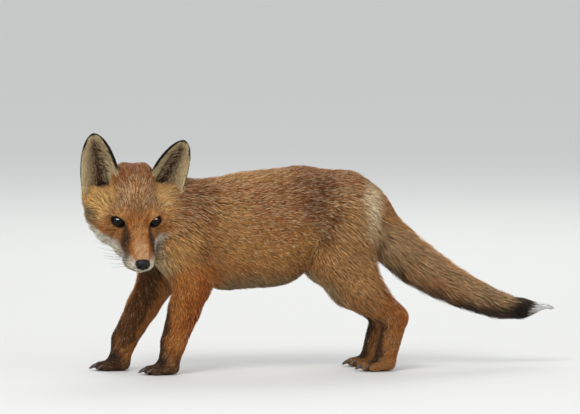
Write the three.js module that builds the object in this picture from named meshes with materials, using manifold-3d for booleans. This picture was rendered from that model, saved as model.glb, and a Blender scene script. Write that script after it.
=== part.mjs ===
// Young red fox, about eleven weeks old, as a still, life-size display model.
// It stalks forward along -X with its left side to -Y, and turns its head a quarter turn to its left.
// Lengths are millimetres, +Z is up, and the soles of all four feet lie flat on Z = 0.
// Every surface is the outside of the coat. One smooth field describes the whole animal,
// each named part is that field meshed at its own fineness, and thin planar cuts divide the parts.
import * as THREE from "three";
import { mergeVertices } from "three/addons/utils/BufferGeometryUtils.js";
import Module from "manifold-3d";

const wasm = await Module();
wasm.setup();

// ---------------------------------------------------------------- driving dimensions

const GAP = 0.3; // clear width of every cut between two parts
const CENTRE = { x: 4, y: 20.5 }; // shift that puts the origin under the middle of the model
const FAR_OUT = 900; // side of a block larger than the model
const STANCE = 31; // from the spine's plane to the middle of each leg

const TRUNK_FLATNESS = 0.66; // width of the trunk as a share of its height
const BLEND = { trunk: 14, neck: 20, limb: 9, toe: 2.5, tail: 9, skull: 9, cheek: 10, ear: 11 };

const EYE = { radius: 8.4, spread: 20.2, back: 6.1, up: -0.6 };
const NOSE = { halfWidth: 9.2, halfHeight: 7, depth: 7.6, forward: 56, up: -15.5 };
// The ear's outline is a power law from its widest place to its tip; below that it narrows into the skull.
const EAR = { halfWidth: 23, wall: 3.4, tipWall: 2.2, root: 20, fullness: 2.3, taper: 0.56, rootShare: 0.6 };
const TOE = { radius: 6.4, clawLength: 12.5, clawRadius: 2.4 };

// Cell sizes of the meshing, mm.
const TINY = 5.2;
const FINE = 8.35;
const SMALL = 8;
const MEDIUM = 11.8;
const LARGE = 15.6;
const COARSE = 19;

const vec = (x, y, z) => new THREE.Vector3(x, y, z);
const degrees = THREE.MathUtils.degToRad;

// The trunk's line from the shoulders to the tail's root: place, half height.
const SPINE = [
  { at: vec(-156, 0, 174), r: 51 },
  { at: vec(-112, 0, 167), r: 66 },
  { at: vec(-62, 0, 172.5), r: 68.5 },
  { at: vec(-22, 0, 192), r: 50.5 },
  { at: vec(30, 0, 189), r: 47.8 },
  { at: vec(52, 0, 182), r: 39 },
];

const NECK = [
  { at: vec(-140, 0, 174), r: 46 },
  { at: vec(-180, 6, 186), r: 44 },
  { at: vec(-215, 4, 198), r: 41 },
];

// The tail's line from its root to its tip: place, half thickness.
const TAIL = [
  { at: vec(62, 0, 186), r: 24 },
  { at: vec(92, 2, 150), r: 27 },
  { at: vec(118.6, 4, 128), r: 27 },
  { at: vec(146, 7, 110.5), r: 24 },
  { at: vec(173, 10, 95.5), r: 21 },
  { at: vec(200, 13, 83.5), r: 17.5 },
  { at: vec(226, 16, 73.5), r: 15 },
  { at: vec(254, 18, 69), r: 10.5 },
  { at: vec(285, 19, 70.5), r: 3 },
];

// Each foreleg: places of the joints in the leg's own plane, as x and z.
const FORELEGS = {
  left: { side: -1, scapula: [-142, 190], shoulder: [-176, 146], elbow: [-158, 108], wrist: [-182, 38] },
  right: { side: 1, scapula: [-150, 190], shoulder: [-194, 146], elbow: [-192, 110], wrist: [-232, 37] },
};
const FORELEG_R = { scapula: 30, shoulder: 29, elbow: 23, forearm: 20, wrist: 15.5 };

const HINDLEGS = {
  left: { side: -1, shift: 0 },
  right: { side: 1, shift: -4 },
};
const HINDLEG = {
  hip: [36, 184],
  ham: [44, 158],
  knee: [16, 131],
  calf: [46, 97],
  hock: [88, 64],
  ball: [76, 15],
};
const HINDLEG_R = { hip: 38, ham: 20, knee: 31, calf: 24.5, hock: 16, cannon: 13.5 };

// ---------------------------------------------------------------- the head's own frame

// The head's origin lies midway between the eyes: x forward to the nose, y to the animal's left, z up.
const HEAD = {
  at: vec(-229.6, -55.5, 183.7),
  turn: 92.8, // degrees to the left from the line of the spine
  pitch: 37.1, // degrees below level
  roll: -0.8,
};

const headFrame = (() => {
  const facing = degrees(180 + HEAD.turn);
  const matrix = new THREE.Matrix4()
    .makeRotationZ(facing)
    .multiply(new THREE.Matrix4().makeRotationY(degrees(HEAD.pitch)))
    .multiply(new THREE.Matrix4().makeRotationX(degrees(HEAD.roll)));
  return matrix.setPosition(HEAD.at);
})();
const toHead = headFrame.clone().invert();
const inHead = (x, y, z) => vec(x, y, z).applyMatrix4(headFrame);
const headDirection = (x, y, z) => vec(x, y, z).transformDirection(headFrame);

const BOTH = [-1, 1];

// Skull and face as ellipsoids in the head's frame: middle, half sizes.
const SKULL = [
  { name: "braincase", at: [-40, 0, 9], half: [40, 25.5, 36] },
  { name: "forehead", at: [-14, 0, 4], half: [26, 24, 19] },
];
const CHEEKS = [
  { name: "crown", at: [-53, 12, 17], half: [20, 15.5, 28] },
  { name: "zygoma", at: [-22, 24, -12], half: [24, 18, 20] },
  { name: "ruff", at: [-42, 36.5, -15], half: [22, 19, 27] },
  { name: "jowl", at: [-27, 25, -33], half: [21, 19, 19] },
  { name: "jaw fur", at: [-4, 13, -34], half: [26, 14, 12] },
  { name: "brow", at: [-8, 15, 8], half: [14, 10, 7] },
  { name: "ear base", at: [-50, 50, 0], half: [11, 9, 14] },
];
const MUZZLE = { root: [-4, 0, -13], rootR: 21, tip: [51, 0, -17.5], tipR: 10.5 };
const LIP = { root: [6, 10, -20], rootR: 14, tip: [48, 6.5, -22], tipR: 9 };
const JAW = { root: [-12, 0, -33], rootR: 18, tip: [43, 0, -30.5], tipR: 8.6 };
const SOCKET = { at: [13, 23.5, 2], half: [17, 10.5, 9], fillet: 5 };
const THROAT = { from: [-34, 4, -40], fromR: 26, to: [-2, 0, -38], toR: 13 };
const FLEWS = { at: [34, 11.5, -30], half: [14, 8.2, 7.5] };
const EAR_ROOT = { at: [-47, 34, -5], r: 13 };

// Each ear: where its sheet starts and ends in the head's frame, and how far its mouth turns outwards.
const EARS = {
  left: { side: 1, from: [-47, 35, 12], to: [-69, 60, 69.5], outward: 6 },
  right: { side: -1, from: [-47, 36, 12], to: [-76, 50.5, 75], outward: 12 },
};

// ---------------------------------------------------------------- field of distances

const clamp01 = (t) => Math.min(1, Math.max(0, t));

// Joins two fields with a fillet about as wide as k.
function blend(a, b, k) {
  const h = Math.max(k - Math.abs(a - b), 0) / k;
  return Math.min(a, b) - (h * h * k) / 4;
}

// Distance to a round bar whose radius goes from ra to rb.
function bar(p, a, b, ra, rb) {
  const line = b.clone().sub(a);
  const t = clamp01(p.clone().sub(a).dot(line) / line.lengthSq());
  return p.distanceTo(a.clone().addScaledVector(line, t)) - (ra + (rb - ra) * t);
}

// Distance to an ellipsoid, near enough close to its surface.
function ellipsoid(p, middle, half) {
  const x = (p.x - middle[0]) / half[0];
  const y = (p.y - middle[1]) / half[1];
  const z = (p.z - middle[2]) / half[2];
  const k0 = Math.hypot(x, y, z);
  const k1 = Math.hypot(x / half[0], y / half[1], z / half[2]);
  return k1 < 1e-6 ? -Math.min(...half) : (k0 * (k0 - 1)) / k1;
}

// A row of bars, each joined to the next.
function chain(p, stops, k) {
  let d = Infinity;
  for (let i = 0; i + 1 < stops.length; i++) {
    const next = bar(p, stops[i].at, stops[i + 1].at, stops[i].r, stops[i + 1].r);
    d = d === Infinity ? next : blend(d, next, k);
  }
  return d;
}

function trunkField(p) {
  const squeezed = vec(p.x, p.y / TRUNK_FLATNESS, p.z);
  return chain(squeezed, SPINE, BLEND.trunk) * TRUNK_FLATNESS ** 0.5;
}

// Toes fan out from the ball of the foot; the two middle ones reach furthest.
function toes(ball, side) {
  const fan = [-1.5, -0.5, 0.5, 1.5];
  return fan.map((step) => {
    const middle = Math.abs(step) < 1;
    const reach = middle ? 21 : 14;
    const root = vec(ball.x + 4, ball.y + step * 6.2, 8.5);
    const tip = vec(ball.x - reach, ball.y + step * 7.4 + side * 0.6, TOE.radius - 1.4);
    return { root, tip };
  });
}

function pawField(p, ball, side, padR) {
  const pad = ellipsoid(p, [ball.x + 1, ball.y, 8], [15, 14.5, padR]);
  return toes(ball, side).reduce(
    (d, toe) => blend(d, bar(p, toe.root, toe.tip, TOE.radius, TOE.radius * 0.92), BLEND.toe),
    pad,
  );
}

const foreJoint = (leg, name) => vec(leg[name][0], leg.side * STANCE, leg[name][1]);
const foreBall = (leg) => vec(leg.wrist[0] - 9, leg.side * STANCE, 0);
const hindJoint = (leg, name) => vec(HINDLEG[name][0] + leg.shift, leg.side * STANCE, HINDLEG[name][1]);
const hindBall = (leg) => vec(HINDLEG.ball[0] + leg.shift - 4, leg.side * STANCE, 0);

function forelegField(p, leg) {
  const { scapula, shoulder, elbow, wrist } = Object.fromEntries(
    ["scapula", "shoulder", "elbow", "wrist"].map((name) => [name, foreJoint(leg, name)]),
  );
  scapula.y = leg.side * 16;
  shoulder.y = leg.side * 21;
  elbow.y = leg.side * 27;
  const ball = foreBall(leg);
  const upper = chain(
    p,
    [
      { at: scapula, r: FORELEG_R.scapula },
      { at: shoulder, r: FORELEG_R.shoulder },
      { at: elbow, r: FORELEG_R.elbow },
    ],
    BLEND.limb,
  );
  const middle = elbow.clone().lerp(wrist, 0.45);
  const lower = chain(
    p,
    [
      { at: elbow, r: FORELEG_R.elbow },
      { at: middle, r: FORELEG_R.forearm },
      { at: wrist, r: FORELEG_R.wrist },
      { at: vec(ball.x + 3, ball.y, 13), r: 12.5 },
    ],
    4,
  );
  return blend(blend(upper, lower, BLEND.limb), pawField(p, ball, leg.side, 11), 5);
}

function hindlegField(p, leg) {
  const { hip, ham, knee, calf, hock, ball } = Object.fromEntries(
    ["hip", "ham", "knee", "calf", "hock", "ball"].map((name) => [name, hindJoint(leg, name)]),
  );
  hip.y = leg.side * 12;
  ham.y = leg.side * 18;
  knee.y = leg.side * 22;
  calf.y = leg.side * 28;
  const thigh = chain(
    p,
    [
      { at: hip, r: HINDLEG_R.hip },
      { at: knee, r: HINDLEG_R.knee },
    ],
    BLEND.limb,
  );
  const shank = chain(
    p,
    [
      { at: knee, r: HINDLEG_R.knee - 5 },
      { at: calf, r: HINDLEG_R.calf },
      { at: hock, r: HINDLEG_R.hock },
    ],
    BLEND.limb,
  );
  const hamstring = bar(p, ham, calf, HINDLEG_R.ham, HINDLEG_R.calf - 2.5);
  const foot = bar(p, hock, vec(ball.x, ball.y, ball.z + 2), HINDLEG_R.cannon + 1.5, HINDLEG_R.cannon);
  const haunch = blend(thigh, hamstring, BLEND.limb);
  const limb = blend(blend(haunch, shank, BLEND.limb), foot, 4);
  return blend(limb, pawField(p, hindBall(leg), leg.side, 10.5), 5);
}

function headField(world) {
  const p = world.clone().applyMatrix4(toHead);
  const mirrored = vec(p.x, Math.abs(p.y), p.z);
  const point = (xyz) => vec(...xyz);
  let d = ellipsoid(p, SKULL[0].at, SKULL[0].half);
  d = blend(d, ellipsoid(p, SKULL[1].at, SKULL[1].half), BLEND.skull);
  for (const cheek of CHEEKS) d = blend(d, ellipsoid(mirrored, cheek.at, cheek.half), BLEND.cheek);
  d = blend(d, mirrored.distanceTo(point(EAR_ROOT.at)) - EAR_ROOT.r, BLEND.ear);
  d = blend(d, bar(p, point(THROAT.from), point(THROAT.to), THROAT.fromR, THROAT.toR), BLEND.cheek);
  d = blend(d, bar(p, point(MUZZLE.root), point(MUZZLE.tip), MUZZLE.rootR, MUZZLE.tipR), BLEND.skull);
  d = blend(d, bar(mirrored, point(LIP.root), point(LIP.tip), LIP.rootR, LIP.tipR), 5);
  d = blend(d, ellipsoid(mirrored, FLEWS.at, FLEWS.half), 5);
  d = blend(d, bar(p, point(JAW.root), point(JAW.tip), JAW.rootR, JAW.tipR), 5);
  return -blend(-d, ellipsoid(mirrored, SOCKET.at, SOCKET.half), SOCKET.fillet);
}

function foxField(p) {
  let d = blend(trunkField(p), chain(p, NECK, BLEND.trunk), BLEND.neck);
  for (const leg of Object.values(FORELEGS)) d = blend(d, forelegField(p, leg), BLEND.limb);
  for (const leg of Object.values(HINDLEGS)) d = blend(d, hindlegField(p, leg), BLEND.limb);
  const rootward = clamp01(1.3 - p.distanceTo(TAIL[0].at) / 45);
  d = blend(d, chain(p, TAIL, BLEND.tail), 2 + BLEND.tail * rootward);
  return blend(d, headField(p), BLEND.skull);
}

// ---------------------------------------------------------------- meshing of the field

const CORNERS = [0, 1, 2, 3, 4, 5, 6, 7].map((i) => [i & 1, (i >> 1) & 1, (i >> 2) & 1]);
const EDGES = CORNERS.flatMap((a, i) =>
  [1, 2, 4].filter((bit) => !(i & bit)).map((bit) => [i, i | bit]),
);

// Moves a point onto the field's surface along its slope.
function settle(p, field) {
  const step = 0.5;
  for (let round = 0; round < 2; round++) {
    const d = field(p);
    const slope = vec(
      field(vec(p.x + step, p.y, p.z)) - field(vec(p.x - step, p.y, p.z)),
      field(vec(p.x, p.y + step, p.z)) - field(vec(p.x, p.y - step, p.z)),
      field(vec(p.x, p.y, p.z + step)) - field(vec(p.x, p.y, p.z - step)),
    ).divideScalar(2 * step);
    p.addScaledVector(slope, -d / Math.max(slope.lengthSq(), 0.05));
  }
  return p;
}

// Where the corners across a face of a cell are alike and its neighbours are not,
// two sheets would share an edge.
// The weakest of the four corners changes sides until no such face is left.
function partSheets(values, [nx, ny, nz]) {
  const step = [1, nx, nx * ny];
  const faces = [[step[0], step[1]], [step[1], step[2]], [step[0], step[2]]];
  const spans = [[1, 1, 0], [0, 1, 1], [1, 0, 1]];
  let flips = 1;
  for (let round = 0; round < 12 && flips; round++) {
    flips = 0;
    faces.forEach(([a, b], which) => {
      const [di, dj, dk] = spans[which];
      for (let k = 0; k + dk < nz; k++)
        for (let j = 0; j + dj < ny; j++)
          for (let i = 0; i + di < nx; i++) {
            const first = i + step[1] * j + step[2] * k;
            const corners = [first, first + a, first + b, first + a + b];
            const [p, q, r, s] = corners.map((corner) => values[corner] < 0);
            if (p !== s || q !== r || p === q) continue;
            const weakest = corners.reduce((w, c) => (Math.abs(values[c]) < Math.abs(values[w]) ? c : w));
            values[weakest] = values[weakest] < 0 ? 0.05 : -0.05;
            flips++;
          }
    });
  }
}

// Surface nets: one vertex in each cell that the surface crosses, one quad across each crossed edge.
function meshField(field, box, cell) {
  const size = box.getSize(new THREE.Vector3());
  const counts = [size.x, size.y, size.z].map((length) => Math.ceil(length / cell) + 1);
  const [nx, ny, nz] = counts;
  const at = (i, j, k) => i + nx * (j + ny * k);
  const place = (i, j, k) => vec(box.min.x + i * cell, box.min.y + j * cell, box.min.z + k * cell);
  const values = new Float32Array(nx * ny * nz);
  for (let k = 0; k < nz; k++)
    for (let j = 0; j < ny; j++)
      for (let i = 0; i < nx; i++) {
        const rim = i === 0 || j === 0 || k === 0 || i === nx - 1 || j === ny - 1 || k === nz - 1;
        values[at(i, j, k)] = rim ? Math.max(field(place(i, j, k)), cell / 4) : field(place(i, j, k));
      }

  partSheets(values, counts);

  const positions = [];
  const vertexOf = new Map();
  for (let k = 0; k + 1 < nz; k++)
    for (let j = 0; j + 1 < ny; j++)
      for (let i = 0; i + 1 < nx; i++) {
        const corner = CORNERS.map(([a, b, c]) => values[at(i + a, j + b, k + c)]);
        const crossings = EDGES.filter(([a, b]) => corner[a] < 0 !== corner[b] < 0);
        if (!crossings.length) continue;
        const middle = vec(0, 0, 0);
        for (const [a, b] of crossings) {
          const t = corner[a] / (corner[a] - corner[b]);
          const from = place(i + CORNERS[a][0], j + CORNERS[a][1], k + CORNERS[a][2]);
          const to = place(i + CORNERS[b][0], j + CORNERS[b][1], k + CORNERS[b][2]);
          middle.add(from.lerp(to, t));
        }
        middle.divideScalar(crossings.length);
        const edge = i === 0 || j === 0 || k === 0 || i === nx - 2 || j === ny - 2 || k === nz - 2;
        if (!edge) settle(middle, field);
        vertexOf.set(at(i, j, k), positions.length / 3);
        positions.push(middle.x, middle.y, middle.z);
      }

  const point = (v) => vec(positions[3 * v], positions[3 * v + 1], positions[3 * v + 2]);
  const triangles = [];
  const addQuad = (quad, turned) => {
    const [a, b, c, d] = turned ? [...quad].reverse() : quad;
    if (point(a).distanceTo(point(c)) <= point(b).distanceTo(point(d))) triangles.push(a, b, c, a, c, d);
    else triangles.push(a, b, d, b, c, d);
  };
  const around = [
    [[1, 0, 0], [0, -1, -1], [0, 0, -1], [0, 0, 0], [0, -1, 0]],
    [[0, 1, 0], [-1, 0, -1], [-1, 0, 0], [0, 0, 0], [0, 0, -1]],
    [[0, 0, 1], [-1, -1, 0], [0, -1, 0], [0, 0, 0], [-1, 0, 0]],
  ];
  for (let k = 0; k + 1 < nz; k++)
    for (let j = 0; j + 1 < ny; j++)
      for (let i = 0; i + 1 < nx; i++) {
        const inside = values[at(i, j, k)] < 0;
        for (const [[a, b, c], ...cells] of around) {
          if (values[at(i + a, j + b, k + c)] < 0 === inside) continue;
          addQuad(cells.map(([x, y, z]) => vertexOf.get(at(i + x, j + y, k + z))), !inside);
        }
      }
  return new wasm.Manifold(
    new wasm.Mesh({
      numProp: 3,
      vertProperties: new Float32Array(positions),
      triVerts: new Uint32Array(triangles),
    }),
  );
}

// ---------------------------------------------------------------- solids and cuts

// A closed three.js geometry as a solid.
function solidOf(geometry) {
  const bare = geometry.clone();
  bare.deleteAttribute("normal");
  bare.deleteAttribute("uv");
  const merged = mergeVertices(bare, 1e-4);
  return new wasm.Manifold(
    new wasm.Mesh({
      numProp: 3,
      vertProperties: new Float32Array(merged.attributes.position.array),
      triVerts: new Uint32Array(merged.index.array),
    }),
  );
}

// A solid as a three.js geometry.
function geometryOf(solid) {
  const mesh = solid.getMesh();
  const positions = new Float32Array(mesh.numVert * 3);
  for (let i = 0; i < mesh.numVert; i++)
    positions.set(mesh.vertProperties.subarray(i * mesh.numProp, i * mesh.numProp + 3), i * 3);
  return new THREE.BufferGeometry()
    .setAttribute("position", new THREE.BufferAttribute(positions, 3))
    .setIndex(new THREE.BufferAttribute(new Uint32Array(mesh.triVerts), 1));
}

// A cut: a point on it, and the direction of the side that is kept.
const cut = (at, towards) => ({ at, towards: towards.clone().normalize() });

// The convex space on the kept side of every cut, drawn back from each by `inset`.
function space(cuts, inset = GAP / 2) {
  let block = solidOf(new THREE.BoxGeometry(FAR_OUT, FAR_OUT, FAR_OUT));
  for (const { at, towards } of cuts) {
    block = block.trimByPlane(towards.toArray(), at.dot(towards) + inset);
  }
  return block;
}
const opposite = ({ at, towards }) => cut(at, towards.clone().negate());

const behindSkull = cut(inHead(-58, 20, 0), headDirection(0.85, -0.45, 0.05));
const besideRuff = cut(inHead(-45, 57, 0), headDirection(-0.4, -0.9, 0));
const underCheek = cut(inHead(-8, 40, -32), headDirection(0, -0.6, 0.8));
const underChin = cut(inHead(0, 0, -50), headDirection(0, 0, 1));
const HEAD_ROOM = [behindSkull, besideRuff, underCheek, underChin];
const beforeCheeks = cut(inHead(-15, 0, 0), headDirection(1, 0, 0));
const mouth = cut(inHead(30, 0, -25.2), headDirection(-0.06, 0, -1));
const jawHinge = cut(inHead(4, 0, -34), headDirection(1, 0, 0.25));
const neckBase = cut(vec(-150, 0, 235), vec(-0.92, 0, 0.39));
const tailRoot = cut(vec(74, 0, 192), vec(0.8, 0, -0.45));
const aboveHocks = cut(vec(75, 0, 131), vec(0.78, 0, 0.62));
const TAIL_ROOM = [tailRoot, aboveHocks];

// A leg's upper part is a slab of the body's side. Below the joint the leg has its whole half of the space.
function forelegCuts(leg) {
  const elbow = foreJoint(leg, "elbow");
  const wrist = foreJoint(leg, "wrist");
  const down = wrist.clone().sub(elbow).normalize();
  const atElbow = cut(elbow.clone().addScaledVector(down, 6), vec(down.x * 0.5, 0, down.z));
  const atWrist = cut(wrist.clone().setZ(34), vec(down.x * 0.2, 0, -1));
  const flankSide = cut(vec(0, leg.side * 12, 0), vec(0, leg.side, 0));
  const midline = cut(vec(0, 0, 0), vec(0, leg.side, 0));
  const shoulderTop = cut(vec(elbow.x, 0, 200), vec(0.1, 0, -1));
  const behindElbow = cut(vec(elbow.x + 27, 0, elbow.z), vec(-1, 0, -0.15));
  return {
    upper: [flankSide, shoulderTop, behindElbow, opposite(atElbow)],
    lower: [midline, behindElbow, atElbow],
    atWrist,
  };
}

function hindlegCuts(leg) {
  const hock = hindJoint(leg, "hock");
  const atKnee = cut(vec(34 + leg.shift, 0, 112), vec(0.28, 0, -1));
  const flankSide = cut(vec(0, leg.side * 13, 0), vec(0, leg.side, 0));
  const midline = cut(vec(0, 0, 0), vec(0, leg.side, 0));
  const hipTop = cut(vec(36, 0, 216), vec(0, 0, -1));
  const flank = cut(vec(-22, 0, 130), vec(1, 0, -0.12));
  return {
    upper: [flankSide, hipTop, flank, opposite(atKnee)],
    lower: [midline, flank, atKnee],
    atHock: cut(hock, vec(-0.1, 0, -1)),
    atBall: cut(vec(0, 0, 30), vec(-0.1, 0, -1)),
  };
}

const whole = new THREE.Box3(vec(-310, -125, -12), vec(300, 70, 320));
const largest = (solids) => solids.reduce((best, s) => (s.volume() > best.volume() ? s : best));

// The part of the fox inside a box and on the kept side of every cut, clear of the rooms of its neighbours.
function flesh(cell, [lowest, highest], cuts, rooms = []) {
  const box = new THREE.Box3(lowest, highest).intersect(whole);
  let solid = meshField(foxField, box, cell).trimByPlane([0, 0, 1], 0).intersect(space(cuts));
  for (const room of rooms) solid = solid.subtract(space(room, -GAP / 2));
  return largest(solid.decompose());
}

// ---------------------------------------------------------------- ears

// A leaf-shaped sheet, cupped across, with its edges turned forwards. u runs across, v from root to tip.
function earGeometry(ear, grow = 0) {
  const mirror = ear.side;
  const place = ([x, y, z]) => inHead(x, y * mirror, z);
  const root = place(ear.from);
  const tip = place(ear.to);
  const axis = tip.clone().sub(root).normalize();
  const outward = degrees(ear.outward) * mirror;
  const mouthWay = headDirection(Math.cos(outward), Math.sin(outward), 0.35);
  mouthWay.addScaledVector(axis, -mouthWay.dot(axis)).normalize();
  const across = mouthWay.clone().cross(axis).normalize();
  const start = root.clone().addScaledVector(axis, -EAR.root);
  const length = root.distanceTo(tip) + EAR.root;
  const rows = 9;
  const columns = 6;

  const sheet = (u, v, lift) => {
    const t = Math.max(0, v - EAR.root / length) / (1 - EAR.root / length);
    const rising = clamp01((v * length) / EAR.root);
    const leaf = Math.max(0.02, (1 - t ** EAR.fullness) ** EAR.taper);
    const width = EAR.halfWidth * leaf * (EAR.rootShare + (1 - EAR.rootShare) * rising);
    const spread = degrees(82 - 46 * t);
    const radius = width / Math.sin(spread);
    const angle = u * spread;
    const r = radius + lift;
    const hollow = radius * Math.cos(spread * 0.55) - r * Math.cos(angle);
    const lean = -5 * Math.sin(Math.PI * v);
    return start
      .clone()
      .addScaledVector(axis, v * length)
      .addScaledVector(across, r * Math.sin(angle))
      .addScaledVector(mouthWay, hollow + lean);
  };
  const points = [];
  const wall = (v) => EAR.wall + (EAR.tipWall - EAR.wall) * v + 2 * grow;
  for (const face of [1, -1])
    for (let row = 0; row <= rows; row++)
      for (let column = 0; column <= columns; column++) {
        const v = row / rows;
        const u = (2 * column) / columns - 1;
        points.push(...sheet(u, v, (face * wall(v)) / 2).toArray());
      }
  const id = (face, row, column) => face * (rows + 1) * (columns + 1) + row * (columns + 1) + column;
  const triangles = [];
  const quad = (a, b, c, d) => triangles.push(a, b, c, a, c, d);
  for (let row = 0; row < rows; row++)
    for (let column = 0; column < columns; column++) {
      quad(id(0, row, column), id(0, row, column + 1), id(0, row + 1, column + 1), id(0, row + 1, column));
      quad(id(1, row, column), id(1, row + 1, column), id(1, row + 1, column + 1), id(1, row, column + 1));
    }
  for (let row = 0; row < rows; row++) {
    quad(id(0, row, 0), id(0, row + 1, 0), id(1, row + 1, 0), id(1, row, 0));
    quad(id(0, row, columns), id(1, row, columns), id(1, row + 1, columns), id(0, row + 1, columns));
  }
  for (let column = 0; column < columns; column++) {
    quad(id(0, 0, column), id(1, 0, column), id(1, 0, column + 1), id(0, 0, column + 1));
    quad(id(0, rows, column), id(0, rows, column + 1), id(1, rows, column + 1), id(1, rows, column));
  }
  return new THREE.BufferGeometry()
    .setAttribute("position", new THREE.BufferAttribute(new Float32Array(points), 3))
    .setIndex(triangles);
}

// ---------------------------------------------------------------- parts

const COLOURS = {
  coat: 0x9a6a3f,
  face: 0xa9713f,
  pale: 0xb9ab92,
  stocking: 0x4a3427,
  brush: 0x86603f,
  tip: 0xe6e2d8,
  ear: 0x7d6a52,
  eye: 0x2a1a10,
  nose: 0x1b191b,
};

const fox = new THREE.Group();
fox.position.set(CENTRE.x, CENTRE.y, 0);

function add(name, solid, colour, roughness = 0.85) {
  const material = new THREE.MeshStandardMaterial({ color: colour, roughness, metalness: 0 });
  const mesh = new THREE.Mesh(geometryOf(solid), material);
  mesh.name = name;
  fox.add(mesh);
}

function ballGeometry(at, radius) {
  const [width, height, depth] = radius;
  return new THREE.SphereGeometry(1, 12, 8).scale(depth, width, height).applyMatrix4(
    headFrame.clone().setPosition(at),
  );
}

function addHead() {
  const box = [vec(-300, -125, 90), vec(-160, 45, 262)];
  const faceBox = [inHead(0, 0, 0).subScalar(95), inHead(0, 0, 0).addScalar(75)];
  const nosePlace = inHead(NOSE.forward, 0, NOSE.up);
  const eyePlace = (side) => inHead(-EYE.back, side * EYE.spread, EYE.up);
  const ball = (at, sizes, grow) => solidOf(ballGeometry(at, sizes.map((size) => size + grow)));
  const noseSizes = [NOSE.halfWidth, NOSE.halfHeight, NOSE.depth];
  const eyeSizes = [EYE.radius, EYE.radius, EYE.radius];
  const eyes = BOTH.map((side) => ball(eyePlace(side), eyeSizes, GAP));
  const jawRoom = [mouth, jawHinge];

  const skull = flesh(MEDIUM, box, [...HEAD_ROOM, opposite(beforeCheeks)]);
  const back = eyes.reduce((rest, eye) => rest.subtract(eye), skull);
  let front = flesh(FINE, faceBox, [...HEAD_ROOM, beforeCheeks]).subtract(ball(nosePlace, noseSizes, GAP));
  front = eyes.reduce((rest, eye) => rest.subtract(eye), front);
  add("head", largest(back.decompose()), COLOURS.face);
  add("face", largest(front.subtract(space(jawRoom, -GAP / 2)).decompose()), COLOURS.face);
  add("lower_jaw", largest(front.intersect(space(jawRoom)).decompose()), COLOURS.pale);
  add("nose", ball(nosePlace, noseSizes, 0), COLOURS.nose, 0.4);
  add("eye_left", ball(eyePlace(1), eyeSizes, 0), COLOURS.eye, 0.1);
  add("eye_right", ball(eyePlace(-1), eyeSizes, 0), COLOURS.eye, 0.1);

  const swollen = meshField((p) => foxField(p) - GAP * 1.5, new THREE.Box3(...box), MEDIUM);
  for (const [name, ear] of Object.entries(EARS)) {
    const sheet = solidOf(earGeometry(ear)).subtract(swollen);
    add(`ear_${name}`, largest(sheet.decompose()), COLOURS.ear);
  }
}

function addClaws(paw, ball, side) {
  return toes(ball, side).reduce((solid, toe) => {
    const way = toe.tip.clone().sub(toe.root).setZ(-1.2).normalize();
    const claw = new THREE.ConeGeometry(TOE.clawRadius, TOE.clawLength, 6);
    claw.translate(0, TOE.clawLength / 2, 0);
    claw.applyQuaternion(new THREE.Quaternion().setFromUnitVectors(vec(0, 1, 0), way));
    claw.translate(toe.tip.x, toe.tip.y, toe.tip.z + 1.2);
    return solid.add(solidOf(claw)).trimByPlane([0, 0, 1], 0);
  }, paw);
}

function addLegs() {
  for (const [name, leg] of Object.entries(FORELEGS)) {
    const { upper, lower, atWrist } = forelegCuts(leg);
    const low = vec(-290, leg.side < 0 ? -90 : -10, -12);
    const upTo = (height) => [low, vec(-90, leg.side < 0 ? 10 : 90, height)];
    const paw = flesh(SMALL, upTo(60), [...lower, atWrist]);
    add(`foreleg_${name}_upper`, flesh(LARGE, upTo(215), upper, [HEAD_ROOM]), COLOURS.coat);
    add(`foreleg_${name}_forearm`, flesh(MEDIUM, upTo(130), [...lower, opposite(atWrist)]), COLOURS.coat);
    add(`foreleg_${name}_paw`, addClaws(paw, foreBall(leg), leg.side), COLOURS.stocking);
  }
  for (const [name, leg] of Object.entries(HINDLEGS)) {
    const { upper, lower, atHock, atBall } = hindlegCuts(leg);
    const low = vec(-60, leg.side < 0 ? -90 : -10, -12);
    const upTo = (height) => [low, vec(130, leg.side < 0 ? 10 : 90, height)];
    const shank = flesh(MEDIUM, upTo(150), [...lower, opposite(atHock)], [TAIL_ROOM]);
    const cannon = flesh(MEDIUM, upTo(90), [...lower, atHock, opposite(atBall)]);
    const paw = flesh(SMALL, upTo(50), [...lower, atHock, atBall]);
    add(`hindleg_${name}_thigh`, flesh(LARGE, upTo(225), upper, [TAIL_ROOM]), COLOURS.coat);
    add(`hindleg_${name}_shank`, shank, COLOURS.coat);
    add(`hindleg_${name}_cannon`, cannon, COLOURS.stocking);
    add(`hindleg_${name}_paw`, addClaws(paw, hindBall(leg), leg.side), COLOURS.stocking);
  }
}

function addTrunk() {
  const low = vec(-310, -70, 60);
  const legRooms = [
    ...Object.values(FORELEGS).map(forelegCuts),
    ...Object.values(HINDLEGS).map(hindlegCuts),
  ].flatMap(({ upper, lower }) => [upper, lower]);
  const taken = [HEAD_ROOM, TAIL_ROOM, ...legRooms];
  add("trunk", flesh(COARSE, [low, vec(110, 70, 270)], [opposite(neckBase)], taken), COLOURS.coat);
  let neck = flesh(LARGE, [low, vec(-100, 70, 270)], [neckBase], taken);
  for (const ear of Object.values(EARS)) neck = neck.subtract(solidOf(earGeometry(ear, GAP)));
  add("neck", largest(neck.decompose()), COLOURS.coat);
}

function addTail() {
  const box = [vec(40, -50, 30), vec(300, 60, 260)];
  const brushCut = cut(TAIL[3].at, TAIL[4].at.clone().sub(TAIL[3].at));
  const tipCut = cut(vec(253, 0, 72), vec(1, 0, 0));
  add("tail_base", flesh(LARGE, box, [...TAIL_ROOM, opposite(brushCut)]), COLOURS.brush);
  add("tail_brush", flesh(MEDIUM, box, [brushCut, opposite(tipCut)]), COLOURS.brush);
  add("tail_tip", flesh(TINY, box, [tipCut, brushCut]), COLOURS.tip);
}

addHead();
addTrunk();
addLegs();
addTail();

export default fox;
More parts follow.
